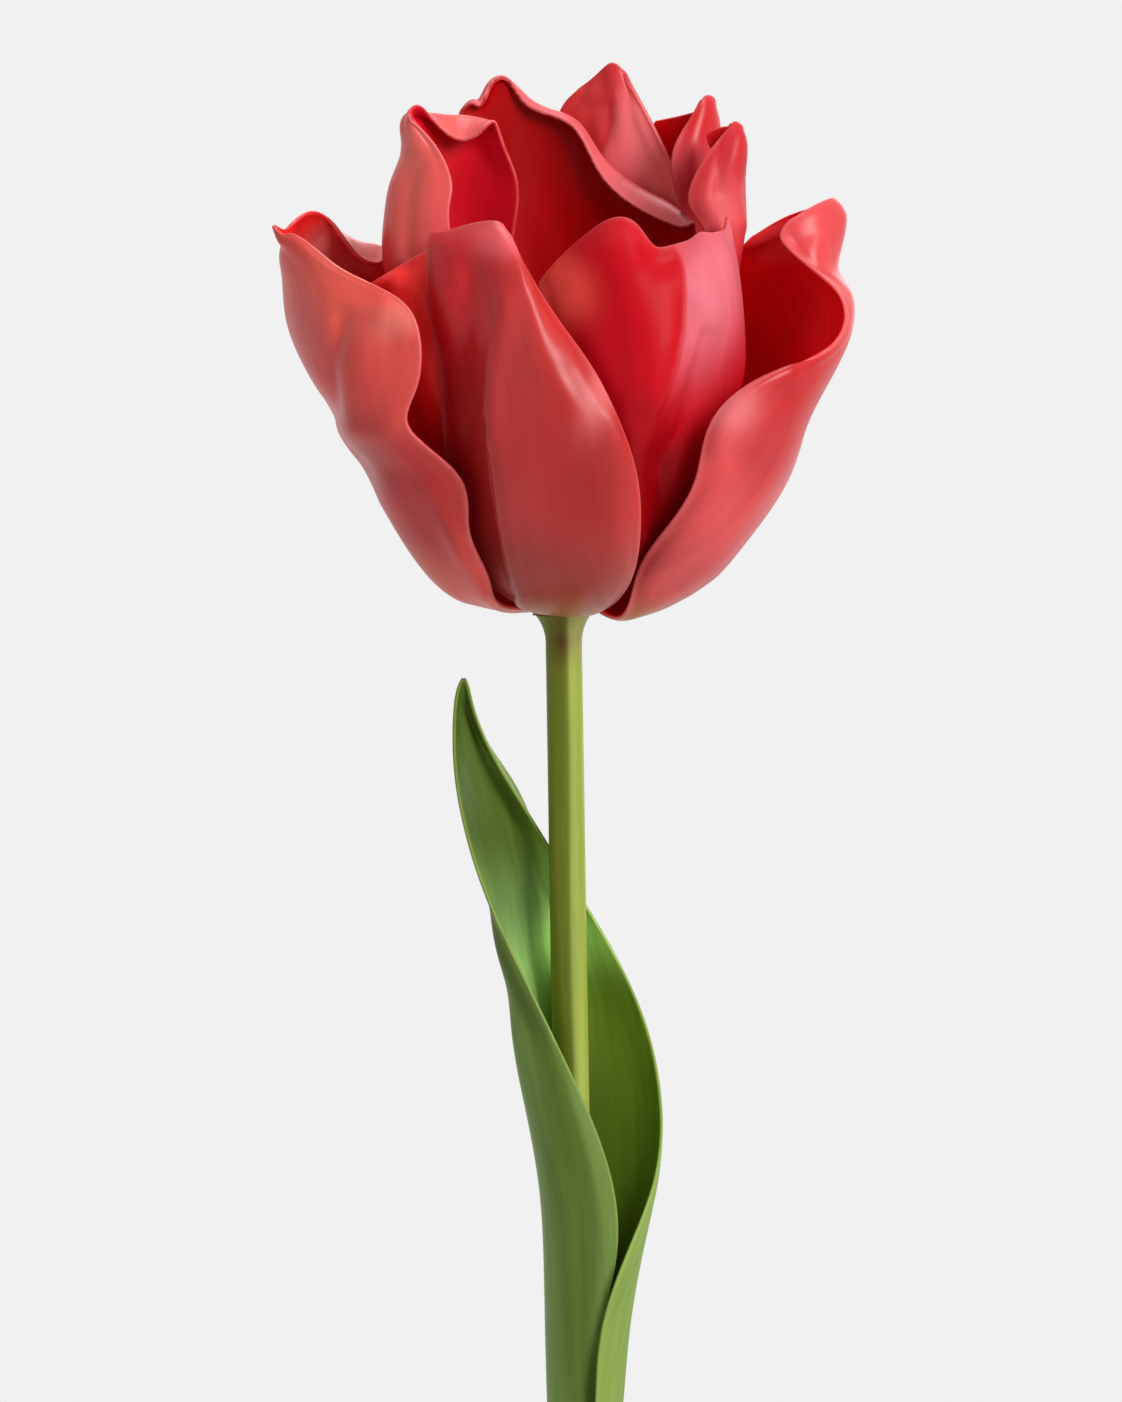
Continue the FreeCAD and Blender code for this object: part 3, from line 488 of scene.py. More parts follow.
def finished_sheet(name, sheet, wall, sides, gloss, material, nodes, body):
    """The sheet as a piece: both faces, its rim, its colour and its flat coordinates."""
    rows, columns = sheet.u.shape
    size = rows * columns
    points = np.concatenate([face.reshape(-1, 3) for face in sheet.walls(wall)])
    foot = np.arange(columns - 1)
    faces = [grid_faces(0, rows, columns, False), grid_faces(size, rows, columns, True),
             np.stack([foot, foot + size, foot + size + 1, foot + 1], axis=1)]
    mesh = bpy.data.meshes.new(name)
    mesh.from_pydata(points.tolist(), [], np.concatenate(faces).tolist())
    colours = np.concatenate([side.reshape(-1, 3) for side in sides])
    flat = np.stack([sheet.left - sheet.width / 2, sheet.foot], axis=2).reshape(-1, 2) / flat_unit
    dress(mesh, colours, np.repeat(gloss, size), np.concatenate([flat + flat_outer, flat + flat_inner]))
    weld(mesh)
    set_piece(name, mesh, material, nodes, body)


# Shaders

class Value:
    """A socket that adds, multiplies and mixes like a number."""

    def __init__(self, tree, socket):
        self.tree = tree
        self.socket = socket

    def node(self, kind, *inputs, **settings):
        return make_node(self.tree, kind, *inputs, **settings)

    def math(self, operation, other):
        return self.node("ShaderNodeMath", self, other, operation=operation)

    def __add__(self, other):
        return self.math("ADD", other)

    def __mul__(self, other):
        return self.math("MULTIPLY", other)

    __radd__ = __add__
    __rmul__ = __mul__

    def scaled(self, *scale):
        """A vector or a colour with each part multiplied."""
        return self.node("ShaderNodeVectorMath", self, scale, operation="MULTIPLY")

    def eased(self, low, high, start=0.0, end=1.0):
        """Smoothly from start at low to end at high."""
        return self.node("ShaderNodeMapRange", self, low, high, start, end, interpolation_type="SMOOTHSTEP")

    def mixed(self, first, second):
        """The colour that goes from first to second as this goes from 0 to 1."""
        return self.node("ShaderNodeMix", sockets={0: self, 6: first, 7: second}, output=2, data_type="RGBA")

    def noise(self, detail, roughness=0.5):
        """A soft pattern from 0 to 1 over this vector."""
        sockets = {"Vector": self, "Scale": 1.0, "Detail": detail, "Roughness": roughness}
        return self.node("ShaderNodeTexNoise", sockets=sockets, output="Fac")


def attach(tree, target, item):
    """Links a value to a socket, or sets the socket to a number or a colour."""
    if isinstance(item, Value):
        tree.links.new(item.socket, target)
    elif target.type == "RGBA":
        target.default_value = (*item, 1.0)
    else:
        target.default_value = item


def fill(tree, node, sockets):
    """Attaches an item to each socket, given by number or name."""
    for key, item in sockets.items():
        attach(tree, node.inputs[key], item)


def make_node(tree, kind, *inputs, sockets={}, output=0, **settings):
    """Adds a node and gives its output; inputs fill its sockets in order, sockets by key."""
    made = tree.nodes.new(kind)
    for key, item in settings.items():
        setattr(made, key, item)
    fill(tree, made, {**dict(enumerate(inputs)), **sockets})
    return Value(tree, made.outputs[output] if len(made.outputs) else None)


def new_material(name):
    """A new material and its nodes."""
    material = bpy.data.materials.new(name)
    material.use_nodes = True
    return material, material.node_tree


# A fine streak's length, and a broad streak's width and length, in widths of a fine streak
fine_length, broad_width, broad_length = 22, 5, 60

# Blotches in the gloss to one unit of the flat coordinates, across and along
blotches = (9, 7, 1)

satin_roughness = 0.5
satin_reflection = 0.06


def satin_paint(name, gloss_roughness, streaks, depth, lift, gloss):
    """Brushed satin paint over fine carving: colour from the piece, streaks along its length."""
    material, tree = new_material(name)
    tree.nodes.clear()
    place = make_node(tree, "ShaderNodeUVMap", uv_map="flat")
    own = make_node(tree, "ShaderNodeAttribute", attribute_name="paint")
    shine = make_node(tree, "ShaderNodeAttribute", output=2, attribute_name="gloss")
    fine = place.scaled(streaks, streaks / fine_length, 1).noise(3.0, 0.55)
    broad = place.scaled(streaks / broad_width, streaks / broad_length, 1).noise(2.0)
    blotch = place.scaled(*blotches).noise(3.0)
    pale = own.scaled(lift, lift, lift)
    dark = own.scaled(2 - lift, 2 - lift, 2 - lift)
    coat = (fine * 0.6 + blotch * 0.6).eased(0.3, 0.8, gloss * 0.75, gloss)
    grooves = {"Strength": 1.0, "Distance": depth, "Height": fine * 0.35 + broad * 0.65}
    shader = make_node(tree, "ShaderNodeBsdfPrincipled", sockets={
        "Base Color": (fine * 0.5 + broad * 0.5).eased(0.3, 0.7).mixed(dark, pale),
        "Roughness": blotch.eased(0.3, 0.7, satin_roughness - 0.05, satin_roughness + 0.06),
        "Coat Weight": shine * coat,
        "Coat Roughness": gloss_roughness,
        "Coat IOR": 1.5,
        "Specular IOR Level": satin_reflection,
        "Normal": make_node(tree, "ShaderNodeBump", sockets=grooves),
    })
    make_node(tree, "ShaderNodeOutputMaterial", shader)
    return material


# Each paint: its gloss's roughness, its streaks to a flat unit, their depth in metres, how much
# paler the pale ones are, and how glossy it is
petal_paint = satin_paint("petal_paint", 0.32, 46, 0.00010, 1.09, 0.62)
leaf_paint = satin_paint("leaf_paint", 0.40, 70, 0.00008, 1.16, 0.30)
stem_paint = satin_paint("stem_paint", 0.32, 80, 0.00006, 1.16, 0.22)


# Petals

def bloom_point(right, back, up):
    """A point of a petal's row, in metres."""
    return (right * bloom_width / 100, back * bloom_width / 100, bloom_base_height + up * bloom_height / 100)


def foot_row(ring_share, start_angle, end_angle, count):
    """The petal's foot, glued round the core at a share of its height."""
    core_radius = core_foot_diameter / 2 + (core_top_diameter - core_foot_diameter) / 2 * ring_share
    radius = core_radius + glue_gap + petal_wall / 2
    angles = np.radians(np.linspace(start_angle, end_angle, count))
    height = collar_top + core_height * ring_share
    return [(radius * math.cos(angle), radius * math.sin(angle), height) for angle in angles]


# Each petal's paint: its outer side, its inner side, and its inner side deep down, darker there as painted
# shade
looks = {
    "petal_outer_front": ((192, 48, 46), (225, 8, 14), (190, 2, 8)),
    "petal_outer_left": ((216, 70, 64), (225, 14, 18), (190, 3, 8)),
    "petal_outer_right": ((210, 68, 70), (252, 8, 22), (220, 1, 8)),
    "petal_outer_back_left": ((206, 62, 60), (220, 8, 14), (185, 2, 8)),
    "petal_outer_back_right": ((206, 62, 60), (220, 8, 14), (185, 2, 8)),
    "petal_middle_front_right": ((190, 10, 26), (225, 10, 18), (190, 3, 8)),
    "petal_middle_front_left": ((255, 52, 48), (225, 10, 14), (190, 3, 8)),
    "petal_middle_back_left": ((208, 64, 62), (225, 14, 18), (190, 2, 8)),
    "petal_middle_back": ((214, 76, 84), (230, 62, 66), (190, 2, 8)),
    "petal_middle_right": ((212, 60, 70), (220, 4, 12), (185, 1, 6)),
    "petal_inner_left": ((226, 80, 80), (208, 14, 36), (185, 1, 6)),
    "petal_inner_back": ((216, 92, 98), (176, 0, 5), (170, 0, 4)),
    "petal_inner_right": ((196, 44, 50), (225, 6, 12), (190, 1, 6)),
}
foot_tan = paint(150, 120, 70)
foot_brown = paint(150, 66, 50)
# The rim's painted highlight colours, for the outer and the inner side
rim_highlight_pink = paint(226, 112, 114)
rim_highlight_red = paint(206, 44, 50)

# Distances in metres from the margin over which the rim's painted highlight and the painted highlight line
# on it fade
rim_highlight_fade = (0.0003, 0.0014)
highlight_line_fade = (0.0001, 0.0005)

# Patches of tint, painted shade and painted highlight: the petal's side, the patch's middle in hundredths
# right and up, its reach right and up, its turn in degrees, its colour and how fully it covers. A side that
# ends in low is painted only to the right of the line of the petal's first step, going along it.
tint_shade_and_highlight_patches = {
    "petal_outer_front": [
        ("outer", -18, 28, 5, 26, -4, (150, 6, 12), 0.95),
        ("outer", -16, 60, 6.5, 12, 0, (202, 10, 24), 0.9),
        ("outer", 0, 8, 14, 9, 0, (140, 26, 26), 0.8),
        ("outer", -1, 33, 7, 16, 0, (166, 28, 26), 0.75),
        ("outer", 7, 40, 2.5, 9, 20, (240, 132, 132), 0.5),
        ("outer", -9, 67, 5, 3, 0, (232, 96, 102), 0.7),
        ("outer", 5, 25, 6, 11, 0, (150, 8, 10), 0.85),
    ],
    "petal_outer_left": [
        ("outer", -24, 20, 9, 13, 25, (176, 30, 30), 0.8),
        ("outer", -39, 58, 7, 8, 0, (255, 98, 84), 0.9),
        ("outer", -35, 68, 5, 4, 0, (255, 150, 146), 0.9),
        ("outer", -27, 54, 5, 3, -20, (222, 112, 98), 0.8),
        ("outer", -42, 50, 3, 10, -10, (206, 92, 92), 0.6),
        ("outer", -27, 27, 4, 5, 0, (196, 24, 34), 0.6),
        ("outer", -33, 31, 4, 7, -25, (150, 40, 36), 0.6),
        ("outer", -24, 10, 7, 3, 35, (206, 108, 84), 0.5),
        ("inner", -36, 67, 7, 4, 0, (255, 160, 156), 1.0),
    ],
    "petal_outer_right": [
        ("outer", 29, 38, 5, 4, 30, (234, 128, 132), 0.6),
        ("outer", 41, 43, 5, 9, 20, (186, 6, 12), 0.9),
        ("inner", 45, 56, 3.5, 10, 0, (255, 40, 50), 0.9),
        ("outer", 44, 68, 6, 5, 30, (212, 62, 66), 0.8),
        ("inner", 38, 68, 5, 4, 20, (240, 80, 84), 0.6),
        ("outer", 36, 31, 4, 9, 30, (180, 26, 32), 0.7),
    ],
    "petal_middle_front_right": [
        ("outer low", 25.5, 58, 6.5, 13.5, 14, (216, 108, 122), 0.95),
        ("outer", 10, 56, 7, 10, 0, (184, 4, 22), 0.9),
        ("outer", 16, 24, 8, 11, 0, (136, 1, 8), 0.95),
        ("outer", 12, 68, 8, 2, 0, (196, 40, 48), 0.4),
        ("outer", 1, 59, 4.5, 6, -30, (240, 84, 74), 0.85),
    ],
    "petal_middle_front_left": [
        ("outer", -22, 32, 8, 16, 0, (190, 1, 6), 0.95),
    ],
    "petal_outer_back_left": [
        ("outer", -35, 68, 8, 5, 0, (255, 160, 156), 0.9),
        ("inner", -35, 68, 8, 5, 0, (255, 160, 156), 0.9),
    ],
    "petal_middle_back_left": [
        ("outer", -35, 68, 8, 5, 0, (255, 160, 156), 0.9),
    ],
    "petal_middle_back": [
        ("inner low", 13, 82, 8, 16, 15, (250, 120, 126), 0.95),
        ("inner", 20, 77, 5, 11, 20, (255, 128, 122), 0.9),
        ("inner", 9, 98, 3, 3, 0, (206, 30, 40), 0.8),
        ("inner", 6, 91, 3.5, 7, 20, (220, 62, 62), 0.8),
    ],
    "petal_middle_right": [
        ("outer", 25, 90, 3, 6, 0, (200, 6, 14), 0.9),
    ],
    "petal_inner_left": [
        ("outer", -25, 76, 3, 12, 8, (244, 110, 90), 0.5),
        ("outer", -14, 88, 8, 2, 0, (230, 100, 96), 0.7),
        ("inner", -20, 84, 3, 8, 0, (205, 4, 14), 0.6),
    ],
    "petal_inner_right": [
        ("outer", 29, 73, 4, 5, 0, (226, 96, 100), 0.7),
    ],
    "petal_inner_back": [
        ("inner", -5, 86, 9, 9, 0, (160, 0, 4), 0.9),
    ],
}

# The petal whose inner side is painted and folded as the others' outer side
turned_in = ["petal_middle_back"]

# Shares of the gloss: a petal's inner side, both sides of one turned in, and dull outer sides
inner_gloss = 0.15
turned_in_gloss = (0.2, 0.8)
dull = {"petal_middle_front_right": 0.12, "petal_inner_right": 0.35, "petal_middle_front_left": 0.4}

# Carved folds on a petal's outer side: a line of points in hundredths right and up, its reach
# to each side in hundredths, and its height in metres. A ridge stands along its line. A step
# stands to the left of its line, going along it, and fades over the given distance. A dip
# lowers the rim: its middle and its reach, right and up, in hundredths, and its drop in metres.
ridges = {
    "petal_outer_left": [
        ([(-38.5, 38), (-39, 46), (-37, 54)], 1.7, -0.0009),
        ([(-34, 36), (-34, 46), (-31, 54)], 3.2, 0.0006),
        ([(-35, 35.5), (-30, 34.5)], 2.2, 0.0005),
        ([(-34, 28.5), (-27, 27)], 2.6, -0.0006),
        ([(-29, 54.5), (-25.5, 52)], 2.4, 0.0005),
        ([(-22, 24), (-17, 13), (-13, 6)], 1.5, 0.0004),
        ([(-30, 22), (-24, 11), (-18, 5)], 2.5, 0.0004),
    ],
    "petal_outer_right": [
        ([(26.5, 31), (29.5, 37.5), (33, 41.5), (39, 43.5)], 2.0, 0.0008),
        ([(30, 29), (33, 35), (38, 39)], 2.2, -0.0006),
        ([(14, 6), (22, 17), (28, 26)], 1.6, 0.0004),
        ([(19, 6), (27, 16), (34, 27)], 1.8, -0.0004),
        ([(26, 9), (33, 19), (39, 31)], 2.2, 0.0003),
        ([(41, 66), (46, 70)], 2.0, -0.0005),
    ],
    "petal_outer_front": [
        ([(-9, 57), (-9.8, 50), (-11.5, 43), (-12.6, 33)], 2.0, 0.0006),
        ([(-15, 62), (-16, 50), (-17, 38), (-16, 22)], 2.6, -0.0007),
        ([(9, 36), (11.5, 28), (12.5, 18)], 1.3, 0.0003),
        ([(2, 44), (7, 34), (9, 24)], 2.0, -0.0003),
    ],
    "petal_middle_front_right": [
        ([(18, 58), (18, 50), (16, 42)], 3.0, 0.0005),
        ([(25, 50), (23.5, 43), (21, 35), (17, 28)], 1.8, -0.0007),
        ([(28, 62), (28, 52), (26, 42)], 2.4, 0.0003),
        ([(22.2, 48), (20.5, 41), (18.5, 34)], 0.9, 0.0004),
    ],
    "petal_middle_front_left": [
        ([(-29, 61), (-25, 60)], 2.2, 0.0008),
    ],
    "petal_middle_back": [
        ([(13, 90), (14, 84), (17, 76)], 2.6, 0.0004),
    ],
    "petal_inner_left": [
        ([(-29, 84), (-30, 74), (-29, 64)], 2.0, 0.0004),
        ([(-25, 82), (-25.5, 74), (-26, 66)], 1.8, -0.0004),
    ],
    "petal_inner_right": [
        ([(31, 86), (30, 78), (31, 70)], 1.2, 0.0004),
        ([(28, 84), (27.5, 76)], 1.2, -0.0003),
    ],
}
dips = {
    "petal_outer_left": [(-50.0, 70, 1.4, 4, -0.0007), (-47.2, 71, 1.2, 4, 0.0006)],
    "petal_middle_front_right": [(16.5, 68, 2.2, 5, 0.0012), (24.5, 68, 1.2, 5, -0.0006)],
    "petal_inner_back": [(-12.9, 94, 1.3, 6, 0.0020)],
}
steps = {
    "petal_middle_back": [
        ([(6.5, 80), (9, 85), (10.4, 89), (10.6, 94)], 0.7, -0.0004, 5),
    ],
    "petal_outer_front": [
        ([(-7, 3), (-9, 8), (-11, 18), (-12.3, 31), (-11.7, 38)], 0.45, -0.0008, 7),
    ],
    "petal_middle_front_right": [
        ([(15, 34), (17.6, 40), (19.6, 45.6), (20.8, 51.5), (21.2, 57), (21, 62), (20, 66)],
         0.4, 0.0009, 8),
    ],
}


# Folds are cut where a petal faces forward, by its normal, and in front of the axis, in metres
faces_forward = (-0.5, 0.2)
behind_axis = (-0.002, 0.007)

# Heights in metres of the knife's slight waves and of the back petals' pleats, and the distance
# from the margin over which all carving fades
knife_wave = 0.00010
back_pleat = 0.00045
carving_fade = 0.0022


def front_view(sheet):
    """How far right and up each point is, in hundredths of the bloom."""
    right = sheet.middle[:, :, 0] / bloom_width * 100
    up = (sheet.middle[:, :, 2] - bloom_base_height) / bloom_height * 100
    return right, up


def from_line(right, up, points):
    """The signed distance from a line of points, left of it being positive, and the share along it."""
    nearest = np.full_like(right, 1e9)
    signed = np.zeros_like(right)
    share = np.zeros_like(right)
    for k, (start, end) in enumerate(zip(points, points[1:])):
        run_right, run_up = end[0] - start[0], end[1] - start[1]
        off_right, off_up = right - start[0], up - start[1]
        t = (off_right * run_right + off_up * run_up) / (run_right ** 2 + run_up ** 2)
        t = np.clip(t, 0, 1)
        off_right, off_up = off_right - t * run_right, off_up - t * run_up
        far = np.hypot(off_right, off_up)
        closer = far < nearest
        side = np.sign(run_right * off_up - run_up * off_right)
        nearest = np.where(closer, far, nearest)
        signed = np.where(closer, side * far, signed)
        share = np.where(closer, (k + t) / (len(points) - 1), share)
    return signed, share


def carve(name, sheet):
    """Cuts the petal's own folds, and the slight unevenness of a knife's work."""
    right, up = front_view(sheet)
    turn = -1 if name in turned_in else 1
    facing = turn * ease(*faces_forward, -turn * sheet.normal[:, :, 1])
    if turn > 0:
        facing = facing * (1 - ease(*behind_axis, sheet.middle[:, :, 1]))
    heights = np.zeros_like(right)
    for points, reach, height in ridges.get(name, []):
        signed = from_line(right, up, points)[0]
        heights += height * np.exp(-(signed / reach) ** 2) * facing
    for points, reach, height, fade in steps.get(name, []):
        signed, share = from_line(right, up, points)
        ends = ease(0, 0.15, share) * ease(0, 0.15, 1 - share)
        side = 0.5 + 0.5 * np.tanh(signed / reach)
        heights += height * side * np.exp(-(np.maximum(signed, 0) / fade) ** 2) * ends * facing
    u, v = sheet.u, sheet.v
    phase = sum(ord(letter) for letter in name)
    waves = np.sin(v * 17 + u * 5 + phase) * np.sin(u * 13 - v * 4 + phase * 1.7)
    waves += 0.6 * np.sin(v * 31 - u * 9 + phase * 0.6) * np.sin(u * 22 + phase)
    heights += knife_wave * waves * ease(0.05, 0.3, u)
    if "_back_" in name:
        pleats = np.sin(v * 19 + phase + 2.5 * u) * np.sin(v * math.pi)
        heights += back_pleat * pleats * ease(0.08, 0.6, u)
    sheet.push(heights * ease(0.0, carving_fade, sheet.margin))
    for x, z, reach_right, reach_up, drop in dips.get(name, []):
        near = np.exp(-((right - x) / reach_right) ** 2 - ((up - z) / reach_up) ** 2)
        sheet.middle[:, :, 2] -= drop * near
    sheet.measure()


def tint_shade_and_highlight_patched(colour, name, side, sheet):
    """The side's colour under the petal's patches of tint, painted shade and painted highlight."""
    right, up = front_view(sheet)
    for on_side, x, z, reach_right, reach_up, turn, patch, cover in tint_shade_and_highlight_patches.get(name, []):
        if on_side.startswith(side):
            angle = math.radians(turn)
            along = (right - x) * math.cos(angle) - (up - z) * math.sin(angle)
            above = (right - x) * math.sin(angle) + (up - z) * math.cos(angle)
            far = (along / reach_right) ** 2 + (above / reach_up) ** 2
            cover = cover * np.exp(-far ** 1.5 * 0.7)
            if on_side.endswith("low"):
                cover = cover * (1 - ease(-0.7, 0.5, from_line(right, up, steps[name][0][0])[0]))
            colour = over(colour, paint(*patch), cover[:, :, None])
    return colour


def petal_colours(name, sheet):
    """The outer and the inner side's colour at each point."""
    outer_side, inner_side, deep_shade_side = (paint(*colour)[None, None, :] for colour in looks[name])
    up = ((sheet.middle[:, :, 2] - bloom_base_height) / bloom_height)[:, :, None]
    margin = sheet.margin[:, :, None]
    outer = tint_shade_and_highlight_patched(outer_side + 0 * up, name, "outer", sheet)
    # The inner side darkens deep down in the bloom as painted shade
    inner = tint_shade_and_highlight_patched(over(deep_shade_side, inner_side, ease(0.25, 0.62, up)), name, "inner", sheet)
    brown = 0.5 if name == "petal_outer_front" else 0.2
    outer = over(outer, foot_brown, (1 - ease(0.03, 0.20, up)) * brown)
    outer = over(outer, foot_tan, (1 - ease(0.0, 0.06, up)) * 0.7)
    # A paler rim and a pale line along the margin, on both sides, are painted highlights
    rim_highlight = 1 - ease(*rim_highlight_fade, margin)
    highlight_line = 1 - ease(*highlight_line_fade, margin)
    outer = over(over(outer, rim_highlight_pink, rim_highlight * 0.2), rim_highlight_pink, highlight_line * 0.35)
    inner = over(over(inner, rim_highlight_red, rim_highlight * 0.25), rim_highlight_pink, highlight_line * 0.15)
    return outer, inner


for name, (ring_share, start_angle, end_angle, shares) in petals.items():
    rows = [foot_row(ring_share, start_angle, end_angle, len(shares[0]))]
    rows += [[bloom_point(*point) for point in row] for row in shares]
    sheet = Sheet(rows, petal_counts, corner=petal_corner)
    carve(name, sheet)
    gloss = turned_in_gloss if name in turned_in else (dull.get(name, 1.0), inner_gloss)
    finished_sheet(name + "_carved", sheet, petal_wall, petal_colours(name, sheet), gloss, petal_paint,
                   [name], "bloom")


# Leaf

def leaf_point(height_share, angle, flare_share):
    """A point of the leaf's row, in metres."""
    radius = sheath_radius + flare_share * leaf_flare / 100
    height = leaf_foot_height + height_share * leaf_length / 100
    turn = math.radians(angle)
    return (radius * math.cos(turn), radius * math.sin(turn), height)


leaf_trough = paint(102, 130, 32)
leaf_top = paint(66, 84, 14)
leaf_blue = paint(122, 156, 88)
leaf_back_shade = paint(84, 104, 34)
leaf_bright = paint(118, 144, 70)
leaf_pale_highlight = paint(128, 154, 68)
# The leaf's painted highlight along its margin, and the distances over which it fades
leaf_rim_highlight = paint(150, 170, 82)
leaf_rim_highlight_fade = (0.0001, 0.0006)
leaf_gloss = (0.6, 1.0)

# The groove along the right margin near the tip: its distance from it, its reach and its depth
groove_inset = 0.0022
groove_reach = 0.0009
groove_depth = 0.0006


def leaf_colours(sheet):
    """The colour at each point of the trough, the side that faces the stem, and of the back."""
    across = sheet.v[:, :, None]
    up = sheet.u[:, :, None]
    # The trough: darker under the lap as painted shade, bluish to its left and above, then dark to the tip,
    # and lighter beside the stem in three places as painted light over its shade and the stem's shadow
    lap_shade = band(0.5, 0.6, 0.62, 0.8, across) * (1 - ease(0.48, 0.62, up))
    trough = over(leaf_trough + 0 * up, leaf_top, lap_shade * 0.8)
    trough = over(trough, leaf_blue, (1 - ease(0.4, 0.6, across)) * ease(0.45, 0.55, up))
    trough = over(trough, leaf_blue, ease(0.60, 0.70, up) * 0.7)
    stem_shadow_lift = band(0.2, 0.5, 0.5, 0.62, across) * band(0.50, 0.58, 0.64, 0.72, up)
    trough = trough * (1 + 1.4 * stem_shadow_lift)
    trough = over(trough, leaf_top, ease(0.68, 0.80, up) * 0.9)
    trough = trough * (1 + 0.9 * ease(0.26, 0.5, across) * band(0.60, 0.70, 0.86, 0.93, up))
    trough = trough * (1 + 0.7 * ease(0.4, 0.6, across) * band(0.62, 0.68, 0.74, 0.82, up))
    # The back: bright from its first fold on, darker between its left margin and that fold as painted shade,
    # and lighter at the margin, just past the fold and to the right below as painted light
    back = over(leaf_back_shade + 0 * up, leaf_bright, (1 - ease(0.015, 0.08, across)) * 0.7)
    back = over(back, leaf_bright, ease(0.12, 0.24, across))
    back = back * (1 + 0.25 * band(0.26, 0.34, 0.4, 0.55, across))
    back = over(back, leaf_pale_highlight, ease(0.66, 0.82, across) * (1 - ease(0.35, 0.55, up)))
    # A pale line along the margin is a painted highlight
    rim_highlight = 1 - ease(*leaf_rim_highlight_fade, sheet.margin[:, :, None])
    veins = 0.5 + 0.5 * np.sin(across * 130 + 2 * np.sin(up * 9))
    return [over(over(side, leaf_top, veins * 0.10), leaf_rim_highlight, rim_highlight * 0.45) for side in (trough, back)]


rows = [[leaf_point(height, *point) for point in row] for height, row in leaf_rows]
sheet = Sheet(rows, leaf_counts, rim_foot=True)
groove = np.exp(-((sheet.right - groove_inset) / groove_reach) ** 2) * band(0.76, 0.88, 0.95, 0.98, sheet.u)
sheet.push(groove * -groove_depth)
finished_sheet("leaf_carved", sheet, leaf_wall, leaf_colours(sheet), leaf_gloss, leaf_paint,
               ["leaf"], "leaf")


# Stem

def turned(name, outline, sides, colour_of, material, nodes, body):
    """A turned piece: the outline of (radius, height) points swept round the axis."""
    shape = (len(outline), sides)
    angles = np.linspace(0, 2 * math.pi, sides, endpoint=False)
    radius, height = (np.array(part)[:, None] for part in zip(*outline))
    angle = np.broadcast_to(angles, shape)
    height = np.broadcast_to(height, shape)
    points = np.stack([radius * np.cos(angles), radius * np.sin(angles), height], axis=2).reshape(-1, 3)
    ring = [(j, (j + 1) % sides) for j in range(sides)]
    faces = [(k + i, k + j, k + sides + j, k + sides + i)
             for k in range(0, (len(outline) - 1) * sides, sides) for i, j in ring]
    faces.append(tuple(reversed(range(sides))))
    faces.append(tuple(range(len(points) - sides, len(points))))
    mesh = bpy.data.meshes.new(name)
    mesh.from_pydata(points.tolist(), [], faces)
    girth = np.broadcast_to(np.abs(np.arange(sides) / sides * 2 - 1) * math.pi * stem_radius, shape)
    flat = np.stack([girth, height], axis=2).reshape(-1, 2) / flat_unit
    dress(mesh, colour_of(angle, height).reshape(-1, 3), np.ones(len(points)), flat)
    set_piece(name, mesh, material, nodes, body)


stem_green = paint(106, 120, 34)
stem_olive = paint(122, 128, 18)
stem_highlight = paint(200, 220, 112)
stem_brown = paint(84, 50, 22)
stem_beige_and_highlight = paint(196, 178, 126)


# Heights in metres over which the dusky foot, the neck and its spot begin or fade
dusk_ends = (0.150, 0.205)
neck_starts = (0.2420, 0.2455)
spot_fades = (0.2472, 0.2495)


def stripe(angle, middle, sharpness):
    """1 at an angle of the stem, in degrees, and fading to both sides of it."""
    return np.exp(-(1 - np.cos(angle - np.radians(middle))) * sharpness)


def stem_colour(angle, height):
    """Green, paler on its right half as painted light, olive down the front, and a brown spot under the
    bloom.
    """
    right = np.cos(angle)
    streak = 0.5 + 0.5 * np.sin(angle * 3 + 1.1 + 1.5 * np.sin(height * 40))
    dusk = 1 - ease(*dusk_ends, height)
    neck = ease(*neck_starts, height)
    start = 0.06 + 0.20 * dusk + 0.05 * np.sin(height * 60)
    # Painted light: paler on its right half, more so low down, in a stripe at its front right, and a little
    # on its left above
    pale = 0.24 * ease(start, start + 0.18, right) + 0.12 * ease(0.8, 1.0, right)
    pale = pale + 0.12 * stripe(angle, 18 * dusk - 66, 20)
    pale = pale * (1 + 0.5 * dusk + 0.2 * neck) + 0.06 * ease(0.5, 0.95, -right) * (1 - dusk)
    brown = neck * (0.22 + 0.68 * stripe(angle, -99, 9)) * (1 - 0.5 * ease(*spot_fades, height))
    colour = over(stem_green, stem_olive, (streak * 0.5 + dusk * 0.5)[:, :, None])
    colour = colour * (1 - 0.25 * stripe(angle, -96, 8))[:, :, None]
    colour = over(colour, stem_highlight, pale[:, :, None])
    # Beige on the neck's right, partly its own tone and partly painted light
    colour = over(colour, stem_beige_and_highlight, (neck * 0.35 * ease(0.05, 0.35, right))[:, :, None])
    return over(colour, stem_brown, brown[:, :, None])


# The outline, from the rounded foot past the collar's flare to the tenon. Its ends close at a small
# radius.
end_radius = 0.0004
collar_edge = 0.0001
stem_sides = 96
foot_points, pin_points, shaft_points, collar_points = 6, 14, 40, 12
collar_radius = collar_diameter / 2
tenon_radius = tenon_diameter / 2
tenon_top = collar_top + tenon_length
flare_spread = collar_radius - stem_radius
bend = (collar_height ** 2 + flare_spread ** 2) / (2 * flare_spread)
flare_turn = 2 * math.atan(flare_spread / collar_height)
outline = [(end_radius, 0.0), (pin_radius - foot_chamfer, 0.0)]
outline += [(pin_radius - foot_chamfer * (1 - math.sin(a)), foot_chamfer * (1 - math.cos(a)))
            for a in np.linspace(0, math.pi / 2, foot_points)]
outline += [(pin_radius, height) for height in np.linspace(foot_chamfer, pin_length, pin_points)[1:]]
